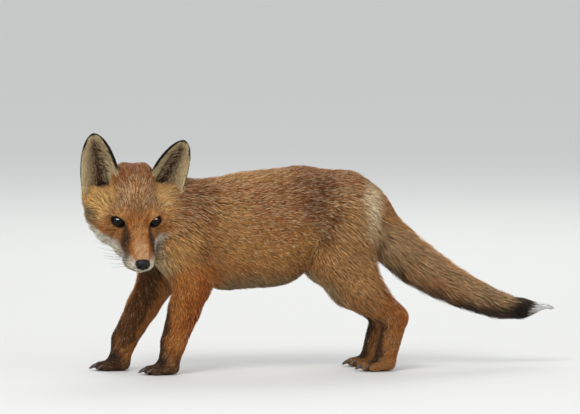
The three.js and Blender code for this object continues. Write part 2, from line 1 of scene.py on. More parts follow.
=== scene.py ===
"""A young red fox, life size and still, dressed for display.

The frame gives the outside of the coat as solids. This script makes what is seen: one bare skin under the
coat, the coat itself as solid tufts that follow its lie, the eyes, the nose, the claws and the whiskers.
The body is described once, as rounded masses on the skeleton's lines. Each mass knows how deep its coat is,
how long its hair is and which way it lies. Lengths are millimetres until a mesh is written in metres.
"""

import logging
import math
from dataclasses import dataclass, replace
from enum import Enum
from typing import Callable, NamedTuple, Optional, Sequence

import bpy
import numpy as np
from mathutils import Euler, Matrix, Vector


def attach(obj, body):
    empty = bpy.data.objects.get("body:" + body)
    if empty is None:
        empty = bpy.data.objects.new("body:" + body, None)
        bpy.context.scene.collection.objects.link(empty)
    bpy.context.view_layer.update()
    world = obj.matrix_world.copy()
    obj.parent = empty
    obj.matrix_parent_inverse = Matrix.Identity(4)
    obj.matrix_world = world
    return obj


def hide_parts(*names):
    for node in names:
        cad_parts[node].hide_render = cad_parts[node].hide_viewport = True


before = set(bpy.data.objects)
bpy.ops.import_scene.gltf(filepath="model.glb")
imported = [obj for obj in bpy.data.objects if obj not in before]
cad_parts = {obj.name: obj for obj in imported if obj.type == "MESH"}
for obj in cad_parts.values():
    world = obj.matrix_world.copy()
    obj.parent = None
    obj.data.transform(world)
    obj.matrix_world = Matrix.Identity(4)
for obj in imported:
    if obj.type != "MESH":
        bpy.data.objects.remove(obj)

LOG = logging.getLogger("fox")
Array = np.ndarray
Vec = tuple[float, float, float]

MM = 0.001
BODY = "root"
CENTRE = np.array([4.0, 20.5, 0.0])  # from the spine's own plane to the frame's origin
SEED = 11
BOTH = (-1, 1)


# ------------------------------------------------------------------ small mathematics

def unit(v: Array) -> Array:
    """Scales vectors to length one."""
    v = np.asarray(v, dtype=np.float64)
    return v / np.maximum(np.linalg.norm(v, axis=-1, keepdims=True), 1e-9)


def blend(a: Array, b: Array, k: float | Array) -> Array:
    """Joins two distance fields with a fillet.

    Args:
        a: The first field's distances.
        b: The second field's distances.
        k: Width of the fillet, mm.

    Returns:
        The distances to the joined shape.
    """
    h = np.maximum(k - np.abs(a - b), 0.0) / k
    return np.minimum(a, b) - h * h * k / 4


def carve(a: Array, tool: Array, k: float) -> Array:
    """Takes a tool's shape out of a shape, with a rounded edge of width k."""
    return -blend(-a, tool, k)


def smooth(low: float, high: float, x: Array) -> Array:
    """Goes from 0 to 1 between two values, without corners."""
    t = np.clip((x - low) / (high - low), 0.0, 1.0)
    return t * t * (3 - 2 * t)


def bump(x: Array, middle: float, half: float) -> Array:
    """Is 1 at a middle value and fades to 0 at `half` from it."""
    return 1.0 - smooth(0.0, 1.0, np.abs(x - middle) / half)


def ripple(p: Array, wavelength: float, seed: int) -> Array:
    """A gentle random vector that changes over a wavelength.

    Args:
        p: Points, mm.
        wavelength: Distance over which it changes, mm.
        seed: Seed of its directions.

    Returns:
        One vector for each point, each component about between -1 and 1.
    """
    draw = np.random.default_rng(seed)
    total = np.zeros_like(p)
    for _ in range(5):
        wave = unit(draw.normal(size=3)) * (2 * math.pi / wavelength) * draw.uniform(0.7, 1.4)
        phase = draw.uniform(0, 2 * math.pi, 3)
        total += np.sin((p @ wave)[:, None] + phase)
    return total / 2.6


def gradient(measure: Callable[[Array], Array], p: Array, step: float = 0.2) -> Array:
    """A field's slope at points, from its values a step to either side."""
    parts = []
    for axis in range(3):
        move = np.zeros(3)
        move[axis] = step
        parts.append((measure(p + move) - measure(p - move)) / (2 * step))
    return np.stack(parts, axis=1)


def ellipsoid(rel: Array, half: Array) -> Array:
    """Distance to an ellipsoid about the origin, exact on its surface."""
    scaled = rel / half
    k0 = np.linalg.norm(scaled, axis=1)
    k1 = np.maximum(np.linalg.norm(scaled / half, axis=1), 1e-6)
    return k0 * (k0 - 1) / k1


def folded(q: Array) -> Array:
    """Brings the points of both sides to the animal's left."""
    return np.stack([q[:, 0], np.abs(q[:, 1]), q[:, 2]], axis=1)


def linear(rgb: Sequence[float]) -> Array:
    """Turns a colour of 0 to 255 as seen into linear light."""
    c = np.asarray(rgb, dtype=np.float64) / 255.0
    return np.where(c <= 0.04045, c / 12.92, ((c + 0.055) / 1.055) ** 2.4)


# ------------------------------------------------------------------ the head's own frame

@dataclass(frozen=True)
class HeadFrame:
    """The head's place: x forward to the nose, y to the animal's left, z up, from midway between the eyes."""

    at: Vec = (-229.6, -55.5, 183.7)
    turn: float = 92.8
    pitch: float = 37.1
    roll: float = -0.8

    def axes(self) -> Array:
        """Rows are the head's x, y and z axes in the body's frame."""
        a, b, c = (math.radians(t) for t in (180 + self.turn, self.pitch, self.roll))
        about_z = np.array([[math.cos(a), -math.sin(a), 0], [math.sin(a), math.cos(a), 0], [0, 0, 1]])
        about_y = np.array([[math.cos(b), 0, math.sin(b)], [0, 1, 0], [-math.sin(b), 0, math.cos(b)]])
        about_x = np.array([[1, 0, 0], [0, math.cos(c), -math.sin(c)], [0, math.sin(c), math.cos(c)]])
        return (about_z @ about_y @ about_x).T

    def inward(self, p: Array) -> Array:
        """Turns body points into head points."""
        return (p - np.array(self.at)) @ self.axes().T

    def outward(self, q: Array) -> Array:
        """Turns head points into body points."""
        return np.asarray(q, dtype=np.float64) @ self.axes() + np.array(self.at)

    def direction(self, v: Sequence[float] | Array) -> Array:
        """Turns head directions into body directions."""
        return np.asarray(v, dtype=np.float64) @ self.axes()


HEAD = HeadFrame()


# ------------------------------------------------------------------ masses of the body

class Space(Enum):
    """The frame that a mass is written in."""

    BODY = "body"
    TRUNK = "body, with its width squeezed"
    HEAD = "head"
    HEAD_PAIR = "head, the same on both sides"
    BODY_PAIR = "body, the same on both sides"


class Region(Enum):
    """The parts of the coat, each a piece of its own."""

    FACE = "face"
    CROWN = "crown"
    EARS = "ears"
    NECK = "neck"
    BACK_LEFT = "back_left"
    BACK_RIGHT = "back_right"
    FORELEGS = "forelegs"
    HINDLEGS = "hindlegs"
    TAIL = "tail"


@dataclass(frozen=True)
class Hair:
    """The coat on a mass.

    depth is how far the coat stands off the skin, length is a tuft's, flow is the way it lies,
    and width is a tuft's at its widest. All are mm.
    """

    depth: float
    length: float
    width: float
    flow: Vec = (1.0, 0.0, 0.0)
    along: bool = False


TRUNK_FLATNESS = 0.66
LEAST_HALF = 1.5


@dataclass(frozen=True)
class Mass:
    """A rounded mass: a bar that tapers from a to b, or an ellipsoid about a with half sizes b."""

    region: Region
    a: Vec
    b: Vec
    ra: float
    rb: float
    k: float
    hair: Hair
    space: Space = Space.BODY
    oval: bool = False
    end_depth: Optional[float] = None

    def place(self, p: Array, q: Array) -> Array:
        """Gives the points in the frame that the mass is written in."""
        if self.space is Space.BODY:
            return p
        if self.space is Space.TRUNK:
            return p / np.array([1.0, TRUNK_FLATNESS, 1.0])
        if self.space is Space.HEAD:
            return q
        return folded(q)

    def distance(self, p: Array, q: Array, bare: float) -> Array:
        """Distance to the mass.

        Args:
            p: Points in the body's frame.
            q: The same points in the head's frame.
            bare: 0 for the outside of the coat, 1 for the skin.

        Returns:
            Distances, below 0 inside.
        """
        own = self.place(p, q)
        depth = self.hair.depth * bare
        a = np.array(self.a)
        if self.oval:
            return ellipsoid(own - a, np.maximum(np.array(self.b) - depth, LEAST_HALF))
        end = (self.hair.depth if self.end_depth is None else self.end_depth) * bare
        line = np.array(self.b) - a
        rel = own - a
        t = np.clip(rel @ line / (line @ line), 0.0, 1.0)
        radius = (self.ra - depth) + ((self.rb - end) - (self.ra - depth)) * t
        d = np.linalg.norm(rel - t[:, None] * line, axis=1) - radius
        return d * TRUNK_FLATNESS ** 0.5 if self.space is Space.TRUNK else d

    def flow(self, q: Array) -> Array:
        """The way the hair lies on the mass, in the body's frame."""
        way = np.array(self.hair.flow)
        if self.hair.along:
            way = np.array(self.b) - np.array(self.a)
        if self.space in (Space.BODY, Space.TRUNK):
            return np.broadcast_to(unit(way), q.shape)
        ways = np.tile(unit(way), (len(q), 1))
        if self.space is Space.HEAD_PAIR:
            ways[:, 1] *= np.sign(q[:, 1])
        return HEAD.direction(ways)


@dataclass(frozen=True)
class Stop:
    """A place on a chain of bars: where, how thick, how deep the coat is."""

    at: Vec
    r: float
    depth: float


def chain(region: Region, stops: Sequence[Stop], k: float, hair: Hair, **rest) -> list[Mass]:
    """Makes a row of bars.

    Args:
        region: The part of the coat.
        stops: The places that the bars join.
        k: Width of the fillets.
        hair: The coat on them; the stops give its depth.
        **rest: Further fields of each mass.

    Returns:
        One mass for each pair of neighbouring stops.
    """
    return [
        Mass(region, s.at, e.at, s.r, e.r, k, replace(hair, depth=s.depth), end_depth=e.depth, **rest)
        for s, e in zip(stops, stops[1:])
    ]


@dataclass(frozen=True)
class Room:
    """A box outside which a group of masses is too far off to matter."""

    low: Vec
    high: Vec
    margin: float = 32.0

    def holds(self, p: Array) -> Array:
        """Tells which points are inside the box grown by its margin."""
        low, high = np.array(self.low) - self.margin, np.array(self.high) + self.margin
        return np.all((p > low) & (p < high), axis=1)


FAR = 60.0  # the distance given to points outside a group's room


class Group:
    """Masses joined one after another into one part of the body."""

    def __init__(self, masses: Sequence[Mass], room: Room) -> None:
        """Keeps the masses and the room that they stand in."""
        self.masses = list(masses)
        self.room = room

    def join(self, p: Array, q: Array, bare: float) -> Array:
        """Distances to the joined masses, without looking at the room."""
        d = self.masses[0].distance(p, q, bare)
        for mass in self.masses[1:]:
            d = blend(d, mass.distance(p, q, bare), mass.k)
        return d

    def distance(self, p: Array, q: Array, bare: float) -> Array:
        """Distances to the group; far points get a large one."""
        near = self.room.holds(p)
        out = np.full(len(p), FAR)
        if near.any():
            out[near] = self.join(p[near], q[near], bare)
        return out


# ------------------------------------------------------------------ the fox's own proportions

STANCE = 31.0  # from the body's own plane to the middle of a foot
LIMB, CANNON_BLEND, PAW_BLEND, TOE_BLEND = 9.0, 4.0, 5.0, 2.5


@dataclass(frozen=True)
class Foreleg:
    """A foreleg: the places of its joints in the leg's own plane, as x and z."""

    side: int
    scapula: tuple[float, float]
    shoulder: tuple[float, float]
    elbow: tuple[float, float]
    wrist: tuple[float, float]

    def joint(self, name: str) -> Array:
        """A joint's place in the body's frame."""
        out = {"scapula": 16.0, "shoulder": 21.0, "elbow": 27.0, "wrist": STANCE}[name]
        x, z = getattr(self, name)
        return np.array([x, self.side * out, z])

    @property
    def ball(self) -> Array:
        """The middle of the foot, on the floor."""
        return np.array([self.wrist[0] - 9, self.side * STANCE, 0.0])


@dataclass(frozen=True)
class Hindleg:
    """A hind leg; the two are alike but for a shift along the body."""

    side: int
    shift: float

    def joint(self, name: str) -> Array:
        """A joint's place in the body's frame."""
        x, z, out = {
            "hip": (36, 184, 12), "ham": (44, 158, 18), "knee": (16, 131, 22), "calf": (46, 97, 28),
            "hock": (88, 64, STANCE), "ball": (76, 15, STANCE),
        }[name]
        return np.array([x + self.shift, self.side * out, z])

    @property
    def ball(self) -> Array:
        """The middle of the foot, on the floor."""
        return np.array([72 + self.shift, self.side * STANCE, 0.0])


FORELEGS = (
    Foreleg(-1, (-142, 190), (-176, 146), (-158, 108), (-182, 38)),
    Foreleg(1, (-150, 190), (-194, 146), (-192, 110), (-232, 37)),
)
HINDLEGS = (Hindleg(-1, 0), Hindleg(1, -4))
FORE_PAD, HIND_PAD = 11.0, 10.5

BODY_HAIR = Hair(5, 14.5, 0.95, (1, 0, -0.12))
NECK_HAIR = Hair(6, 15, 0.95, (0.85, 0.1, -0.4))
TAIL_HAIR = Hair(8, 21, 1.0, along=True)
SHOULDER_HAIR = Hair(5, 13, 0.9, (0.6, 0, -0.8))
FOREARM_HAIR = Hair(3, 8.5, 0.78, (-0.12, 0, -1))
THIGH_HAIR = Hair(5, 14, 0.95, (0.65, 0, -0.7))
SHANK_HAIR = Hair(4.5, 11, 0.85, (0.6, 0, -0.75))
CANNON_HAIR = Hair(2.2, 7, 0.72, (0.0, 0, -1))
PAW_HAIR = Hair(1.6, 5.5, 0.64, (-0.9, 0, -0.35))
TOE_HAIR = Hair(1.2, 4.2, 0.58, (-1, 0, -0.2))


def paw(region: Region, ball: Array, side: int, pad_r: float) -> list[Mass]:
    """Makes the pad and the four toes of a foot; the middle two toes reach further."""
    masses = [
        Mass(region, (ball[0] + 1, ball[1], 8), (15, 14.5, pad_r), 0, 0, PAW_BLEND, PAW_HAIR, oval=True)
    ]
    for step, reach in ((-1.5, 14), (-0.5, 21), (0.5, 21), (1.5, 14)):
        root = (ball[0] + 4, ball[1] + step * 6.2, 8.5)
        tip = (ball[0] - reach, ball[1] + step * 7.4 + side * 0.6, 5.0)
        masses.append(Mass(region, root, tip, 6.4, 5.888, TOE_BLEND, TOE_HAIR))
    return masses


class Limb(Group):
    """A leg: its parts from the trunk down, each with the fillet that joins it to those above."""

    def __init__(self, parts: Sequence[tuple[Sequence[Mass], float]], room: Room) -> None:
        """Keeps the parts, and their masses in one row."""
        super().__init__([mass for masses, _ in parts for mass in masses], room)
        self.parts = [(Group(masses, room), k) for masses, k in parts]

    def join(self, p: Array, q: Array, bare: float) -> Array:
        """Distances to the leg."""
        d = None
        for part, k in self.parts:
            own = part.join(p, q, bare)
            d = own if d is None else blend(d, own, k)
        return d


def foreleg(leg: Foreleg) -> Limb:
    """Builds a foreleg from its joints."""
    region = Region.FORELEGS
    elbow, wrist, ball = leg.joint("elbow"), leg.joint("wrist"), leg.ball
    middle = elbow + (wrist - elbow) * 0.45
    upper = chain(
        region,
        [Stop(tuple(leg.joint("scapula")), 30, 5), Stop(tuple(leg.joint("shoulder")), 29, 5),
         Stop(tuple(elbow), 23, 4)],
        LIMB, SHOULDER_HAIR,
    )
    lower = chain(
        region,
        [Stop(tuple(elbow), 23, 4), Stop(tuple(middle), 20, 3.4), Stop(tuple(wrist), 15.5, 2.1),
         Stop((ball[0] + 3, ball[1], 13), 12.5, 1.7)],
        CANNON_BLEND, FOREARM_HAIR,
    )
    low = (min(leg.shoulder[0], leg.wrist[0]) - 50, leg.side * STANCE - 30, -5)
    high = (leg.scapula[0] + 45, leg.side * 20 + 45, 225)
    foot = paw(region, ball, leg.side, FORE_PAD)
    return Limb([(upper, LIMB), (lower, LIMB), (foot, PAW_BLEND)], Room(low, high))


def hindleg(leg: Hindleg) -> Limb:
    """Builds a hind leg from its joints."""
    region = Region.HINDLEGS
    hip, knee, calf, hock, toe = (leg.joint(n) for n in ("hip", "knee", "calf", "hock", "ball"))
    thigh = chain(region, [Stop(tuple(hip), 38, 5), Stop(tuple(knee), 31, 5)], LIMB, THIGH_HAIR)
    ham = tuple(leg.joint("ham"))
    thigh += chain(region, [Stop(ham, 20, 5), Stop(tuple(calf), 22, 5)], LIMB, THIGH_HAIR)
    shank = chain(
        region, [Stop(tuple(knee), 26, 4), Stop(tuple(calf), 24.5, 5), Stop(tuple(hock), 16, 2.8)],
        LIMB, SHANK_HAIR,
    )
    cannon = chain(
        region, [Stop(tuple(hock), 15, 2.5), Stop((toe[0], toe[1], 17), 13.5, 1.9)],
        CANNON_BLEND, CANNON_HAIR,
    )
    foot = paw(region, leg.ball, leg.side, HIND_PAD)
    middle = leg.side * 20
    return Limb(
        [(thigh, LIMB), (shank, LIMB), (cannon, CANNON_BLEND), (foot, PAW_BLEND)],
        Room((-50, middle - 50, -5), (125, middle + 50, 230)),
    )


TRUNK = Group(
    chain(
        Region.BACK_LEFT,
        [Stop((-156, 0, 174), 51, 6), Stop((-112, 0, 167), 66, 6), Stop((-62, 0, 172.5), 68.5, 6),
         Stop((-22, 0, 192), 50.5, 6), Stop((30, 0, 189), 47.8, 6), Stop((52, 0, 182), 39, 6)],
        14, BODY_HAIR, space=Space.TRUNK,
    ),
    Room((-235, -60, 90), (105, 60, 250)),
)
NECK = Group(
    chain(
        Region.NECK,
        [Stop((-140, 0, 174), 46, 6), Stop((-180, 6, 186), 44, 6), Stop((-215, 4, 198), 41, 6)],
        14, NECK_HAIR,
    ),
    Room((-270, -55, 120), (-85, 60, 250)),
)
TAIL_STOPS = (
    Stop((62, 0, 186), 24, 7), Stop((92, 2, 150), 27, 9), Stop((118.6, 4, 128), 27, 9.5),
    Stop((146, 7, 110.5), 24, 8.5), Stop((173, 10, 95.5), 21, 7.5), Stop((200, 13, 83.5), 17.5, 6.5),
    Stop((226, 16, 73.5), 15, 5.5), Stop((254, 18, 69), 10.5, 4), Stop((285, 19, 70.5), 3, 1),
)
TAIL = Group(chain(Region.TAIL, TAIL_STOPS, 9, TAIL_HAIR), Room((30, -35, 50), (300, 50, 220)))

CROWN_HAIR = Hair(4, 10, 0.75, (-0.95, 0, 0.1))
FACE, CROWN = Region.FACE, Region.CROWN


def oval(region: Region, at: Vec, half: Vec, k: float, hair: Hair, pair: bool = True) -> Mass:
    """Makes an ellipsoid of the head."""
    space = Space.HEAD_PAIR if pair else Space.HEAD
    return Mass(region, at, half, 0, 0, k, hair, space, oval=True)


def head_bar(
    a: Vec, ra: float, b: Vec, rb: float, k: float, hair: Hair, end: float, pair: bool = False,
) -> Mass:
    """Makes a bar of the head."""
    space = Space.HEAD_PAIR if pair else Space.HEAD
    return Mass(FACE, a, b, ra, rb, k, hair, space, end_depth=end)


HEAD_MASSES = [
    oval(CROWN, (-40, 0, 9), (40, 25.5, 36), 9, CROWN_HAIR, pair=False),
    oval(CROWN, (-53, 12, 17), (20, 15.5, 28), 9, CROWN_HAIR),
    oval(FACE, (-14, 0, 4), (26, 24, 19), 9, Hair(2.6, 7, 0.52, (-0.95, 0, 0.25)), pair=False),
    oval(FACE, (-22, 24, -12), (24, 18, 20), 10, Hair(4, 9, 0.62, (-0.85, 0.45, -0.1))),
    oval(CROWN, (-42, 36.5, -15), (22, 19, 27), 10, Hair(7, 16, 0.88, (-0.6, 0.65, -0.3))),
    oval(CROWN, (-27, 25, -33), (21, 19, 19), 10, Hair(6, 13, 0.82, (-0.7, 0.45, -0.5))),
    oval(FACE, (-4, 13, -34), (26, 14, 12), 10, Hair(3.5, 8, 0.62, (-0.85, 0.25, -0.45))),
    oval(FACE, (-8, 15, 8), (14, 10, 7), 10, Hair(1.8, 5, 0.46, (-0.8, 0.35, 0.4))),
    oval(CROWN, (-47, 34, -5), (13, 13, 13), 11, Hair(3.5, 9, 0.65, (-0.45, 0.3, 0.8))),
    oval(CROWN, (-50, 50, 0), (11, 9, 14), 8, Hair(4, 10, 0.65, (-0.35, 0.3, 0.85))),
    oval(FACE, (34, 11.5, -30), (14, 8.2, 7.5), 5, Hair(3, 7, 0.52, (-0.85, 0.3, -0.45))),
    head_bar((-34, 4, -40), 26, (-2, 0, -38), 13, 10, Hair(8, 15, 0.88, (-0.8, 0, -0.35)), 4),
    head_bar((-4, 0, -13), 21, (51, 0, -17.5), 10.5, 9, Hair(1.8, 4.4, 0.44, (-1, 0, 0.05)), 0.8),
    head_bar((6, 10, -20), 14, (48, 6.5, -22), 9, 5, Hair(1.8, 5, 0.46, (-0.9, 0.2, -0.35)), 1.2, True),
    head_bar((-12, 0, -33), 18, (43, 0, -30.5), 8.6, 5, Hair(3.0, 6.5, 0.55, (-0.95, 0, -0.3)), 1.8),
]
SOCKET = oval(FACE, (13, 23.5, 2), (17, 10.5, 9), 5, Hair(0, 0, 0))
HEAD_GROUP = Group(HEAD_MASSES, Room((-300, -135, 105), (-165, 25, 265), 12))


# ------------------------------------------------------------------ ears

@dataclass(frozen=True)
class Ear:
    """A leaf-shaped sheet, cupped across. It stands on the skull from start to tip, in the head's frame.

    The mouth faces forward, turned out by `outward` degrees. The sheet goes on below start by `root`.
    """

    side: int
    start: Vec
    tip: Vec
    outward: float
    half_width: float = 23.0
    wall: float = 3.4
    tip_wall: float = 2.2
    root: float = 20.0

    def frame(self) -> tuple[Array, Array, Array, Array, float]:
        """Gives, in the body's frame, the root, the ways up, out of the mouth and across, and the length."""
        turned = np.array([1, self.side, 1])
        base = HEAD.outward(np.array(self.start) * turned)
        tip = HEAD.outward(np.array(self.tip) * turned)
        axis = unit(tip - base)
        out = math.radians(self.outward) * self.side
        mouth = HEAD.direction(unit([math.cos(out), math.sin(out), 0.35]))
        mouth = unit(mouth - axis * (mouth @ axis))
        across = unit(np.cross(mouth, axis))
        return base - axis * self.root, axis, mouth, across, float(np.linalg.norm(tip - base)) + self.root

    def local(self, p: Array) -> tuple[Array, ...]:
        """Turns points into the sheet's own terms.

        Args:
            p: Points in the body's frame.

        Returns:
            Share of the length, angle across, distance outside the sheet's middle surface, spread, radius.
        """
        start, axis, mouth, across, length = self.frame()
        rel = p - start
        v = rel @ axis / length
        share = self.share(v)
        width = self.half_width * np.maximum(0.02, (1 - share ** 2.3) ** 0.56)
        width = width * (0.6 + 0.4 * np.clip(v * length / self.root, 0, 1))
        spread = np.radians(82 - 46 * share)
        radius = width / np.sin(spread)
        lean = -5 * np.sin(math.pi * np.clip(v, 0, 1))
        c = radius * np.cos(spread * 0.55) + lean - rel @ mouth
        a = rel @ across
        return v, np.arctan2(a, c), np.hypot(a, c) - radius, spread, radius

    def distance(self, p: Array, bare: float) -> Array:
        """Distance to the sheet, near enough close to its surface."""
        v, angle, lift, spread, radius = self.local(p)
        length = self.frame()[4]
        up = np.clip(v, 0, 1)
        half = (self.wall + (self.tip_wall - self.wall) * up) / 2 - bare * (0.4 - 0.3 * up)
        rim = radius * (np.abs(angle) - spread) + half
        ends = np.maximum(-v, v - 1) * length + half
        over = np.maximum(rim, ends)
        return np.hypot(np.maximum(over, 0), lift) - half

    def share(self, v: Array) -> Array:
        """Turns a share of the whole length into a share of the length above the root."""
        hidden = self.root / self.frame()[4]
        return np.clip((v - hidden) / (1 - hidden), 0, 1)

    def room(self) -> Room:
        """The box round the sheet."""
        start, axis, _, _, length = self.frame()
        tip = start + axis * length
        low, high = np.minimum(start, tip) - 30, np.maximum(start, tip) + 30
        return Room(tuple(low), tuple(high), 6)


EARS = (Ear(1, (-47, 35, 12), (-69, 60, 69.5), 6), Ear(-1, (-47, 36, 12), (-76, 50.5, 75), 12))


# ------------------------------------------------------------------ eyes, mouth and nose

EYE_AT = np.array([-6.1, 20.2, -0.6])
EYE_RADIUS, LID_RADIUS = 8.4, 9.6
EYE_ASIDE, EYE_RAISED, EYE_SLANT = 30.0, 9.0, 11.0
EYE_HALF, UPPER_LID, LOWER_LID = 8.2, 6.1, 4.5
NOSE_AT = np.array([56.0, 0.0, -15.5])
NOSE_HALF = np.array([7.6, 9.2, 7.0])


def eye_axes() -> Array:
    """Rows are the ways out of the left eye, to its outer corner and up, in the head's frame."""
    aside, raised, slant = (math.radians(t) for t in (EYE_ASIDE, EYE_RAISED, EYE_SLANT))
    flat = math.cos(raised)
    out = np.array([math.cos(aside) * flat, math.sin(aside) * flat, math.sin(raised)])
    corner = unit(np.cross([0, 0, 1.0], out))
    up = unit(np.cross(out, corner))
    c, s = math.cos(slant), math.sin(slant)
    return np.array([out, corner * c + up * s, up * c - corner * s])


EYE_WAYS = eye_axes()


def lens(c: Array, u: Array, half: float, upper: float, lower: float) -> Array:
    """Distance to an almond: two arcs that meet at both corners."""
    top = (half * half + upper * upper) / (2 * upper)
    bottom = (half * half + lower * lower) / (2 * lower)
    return np.maximum(np.hypot(c, u + top - upper) - top, np.hypot(c, u - bottom + lower) - bottom)


def eye_terms(q: Array) -> tuple[Array, Array]:
    """Distance to the lids' opening, measured across the eye, and how far in front of the eye's middle."""
    out, corner, up = ((folded(q) - EYE_AT) @ way for way in EYE_WAYS)
    return lens(corner, up, EYE_HALF, UPPER_LID, LOWER_LID), out


def mouth_line(q: Array) -> Array:
    """Height of a point over the line where the lips meet; large behind the corner of the mouth."""
    line = -26.2 - 0.05 * (q[:, 0] - 30) + 4.0 * smooth(26, 2, q[:, 0]) + 1.2 * smooth(40, 54, q[:, 0])
    return (q[:, 2] - line) + 30 * smooth(6, 0, q[:, 0])


class Fox:
    """The whole animal as one field, at the outside of its coat or at its bare skin."""

    def __init__(self) -> None:
        """Builds the groups of masses."""
        self.forelegs = [foreleg(leg) for leg in FORELEGS]
        self.hindlegs = [hindleg(leg) for leg in HINDLEGS]
        self.groups = [TRUNK, NECK, *self.forelegs, *self.hindlegs, TAIL, HEAD_GROUP]
        self.masses = [mass for group in self.groups for mass in group.masses]

    def head(self, p: Array, q: Array, bare: float) -> Array:
        """Distances to the head without its ears."""
        near = HEAD_GROUP.room.holds(p)
        out = np.full(len(p), FAR)
        if not near.any():
            return out
        p, q = p[near], q[near]
        d = HEAD_GROUP.join(p, q, bare)
        d = carve(d, SOCKET.distance(p, q, 0.0), 5.0)
        if bare > 0:
            d = blend(d, np.linalg.norm(folded(q) - EYE_AT, axis=1) - LID_RADIUS, 3.5)
            opening, front = eye_terms(q)
            d = carve(d, np.maximum(opening, -front), 0.9)
            d = d + 1.5 * bump(mouth_line(q), 0.0, 1.7) * smooth(-9, -2, d) * smooth(2, 8, q[:, 0])
            d = carve(d, np.linalg.norm((q - NOSE_AT) / (NOSE_HALF - 1.2), axis=1) * 6 - 6, 1.0)
        out[near] = d
        return out

    def distance(self, p: Array, bare: float, ears: bool = True) -> Array:
        """Distances to the animal.

        Args:
            p: Points in the body's frame, mm.
            bare: 0 for the outside of the coat, 1 for the skin.
            ears: Whether the ears are part of it.

        Returns:
            Distances, below 0 inside.
        """
        q = HEAD.inward(p)
        d = blend(TRUNK.distance(p, q, bare), NECK.distance(p, q, bare), 20)
        for leg in (*self.forelegs, *self.hindlegs):
            d = blend(d, leg.distance(p, q, bare), LIMB)
        rootward = np.clip(1.3 - np.linalg.norm(p - np.array(TAIL_STOPS[0].at), axis=1) / 45, 0, 1)
        d = blend(d, TAIL.distance(p, q, bare), 2 + 9 * rootward)
        d = blend(d, self.head(p, q, bare), 9)
        if ears:
            for ear in EARS:
                near = ear.room().holds(p)
                if near.any():
                    d[near] = blend(d[near], ear.distance(p[near], bare), 5)
        return carve(d, p[:, 2], 1.2)


# ------------------------------------------------------------------ meshing of a field

@dataclass
class Surface:
    """A closed surface of triangles, mm."""

    points: Array
    faces: Array

    def normals(self) -> Array:
        """Gives one normal for each point."""
        a, b, c = (self.points[self.faces[:, i]] for i in range(3))
        across = np.cross(b - a, c - a)
        out = np.zeros_like(self.points)
        for i in range(3):
            np.add.at(out, self.faces[:, i], across)
        return unit(out)

    def areas(self) -> Array:
        """Gives the area of each triangle."""
        a, b, c = (self.points[self.faces[:, i]] for i in range(3))
        return np.linalg.norm(np.cross(b - a, c - a), axis=1) / 2


CORNERS = np.array([[i & 1, (i >> 1) & 1, (i >> 2) & 1] for i in range(8)])
EDGES = [(i, i | bit) for i in range(8) for bit in (1, 2, 4) if not i & bit]


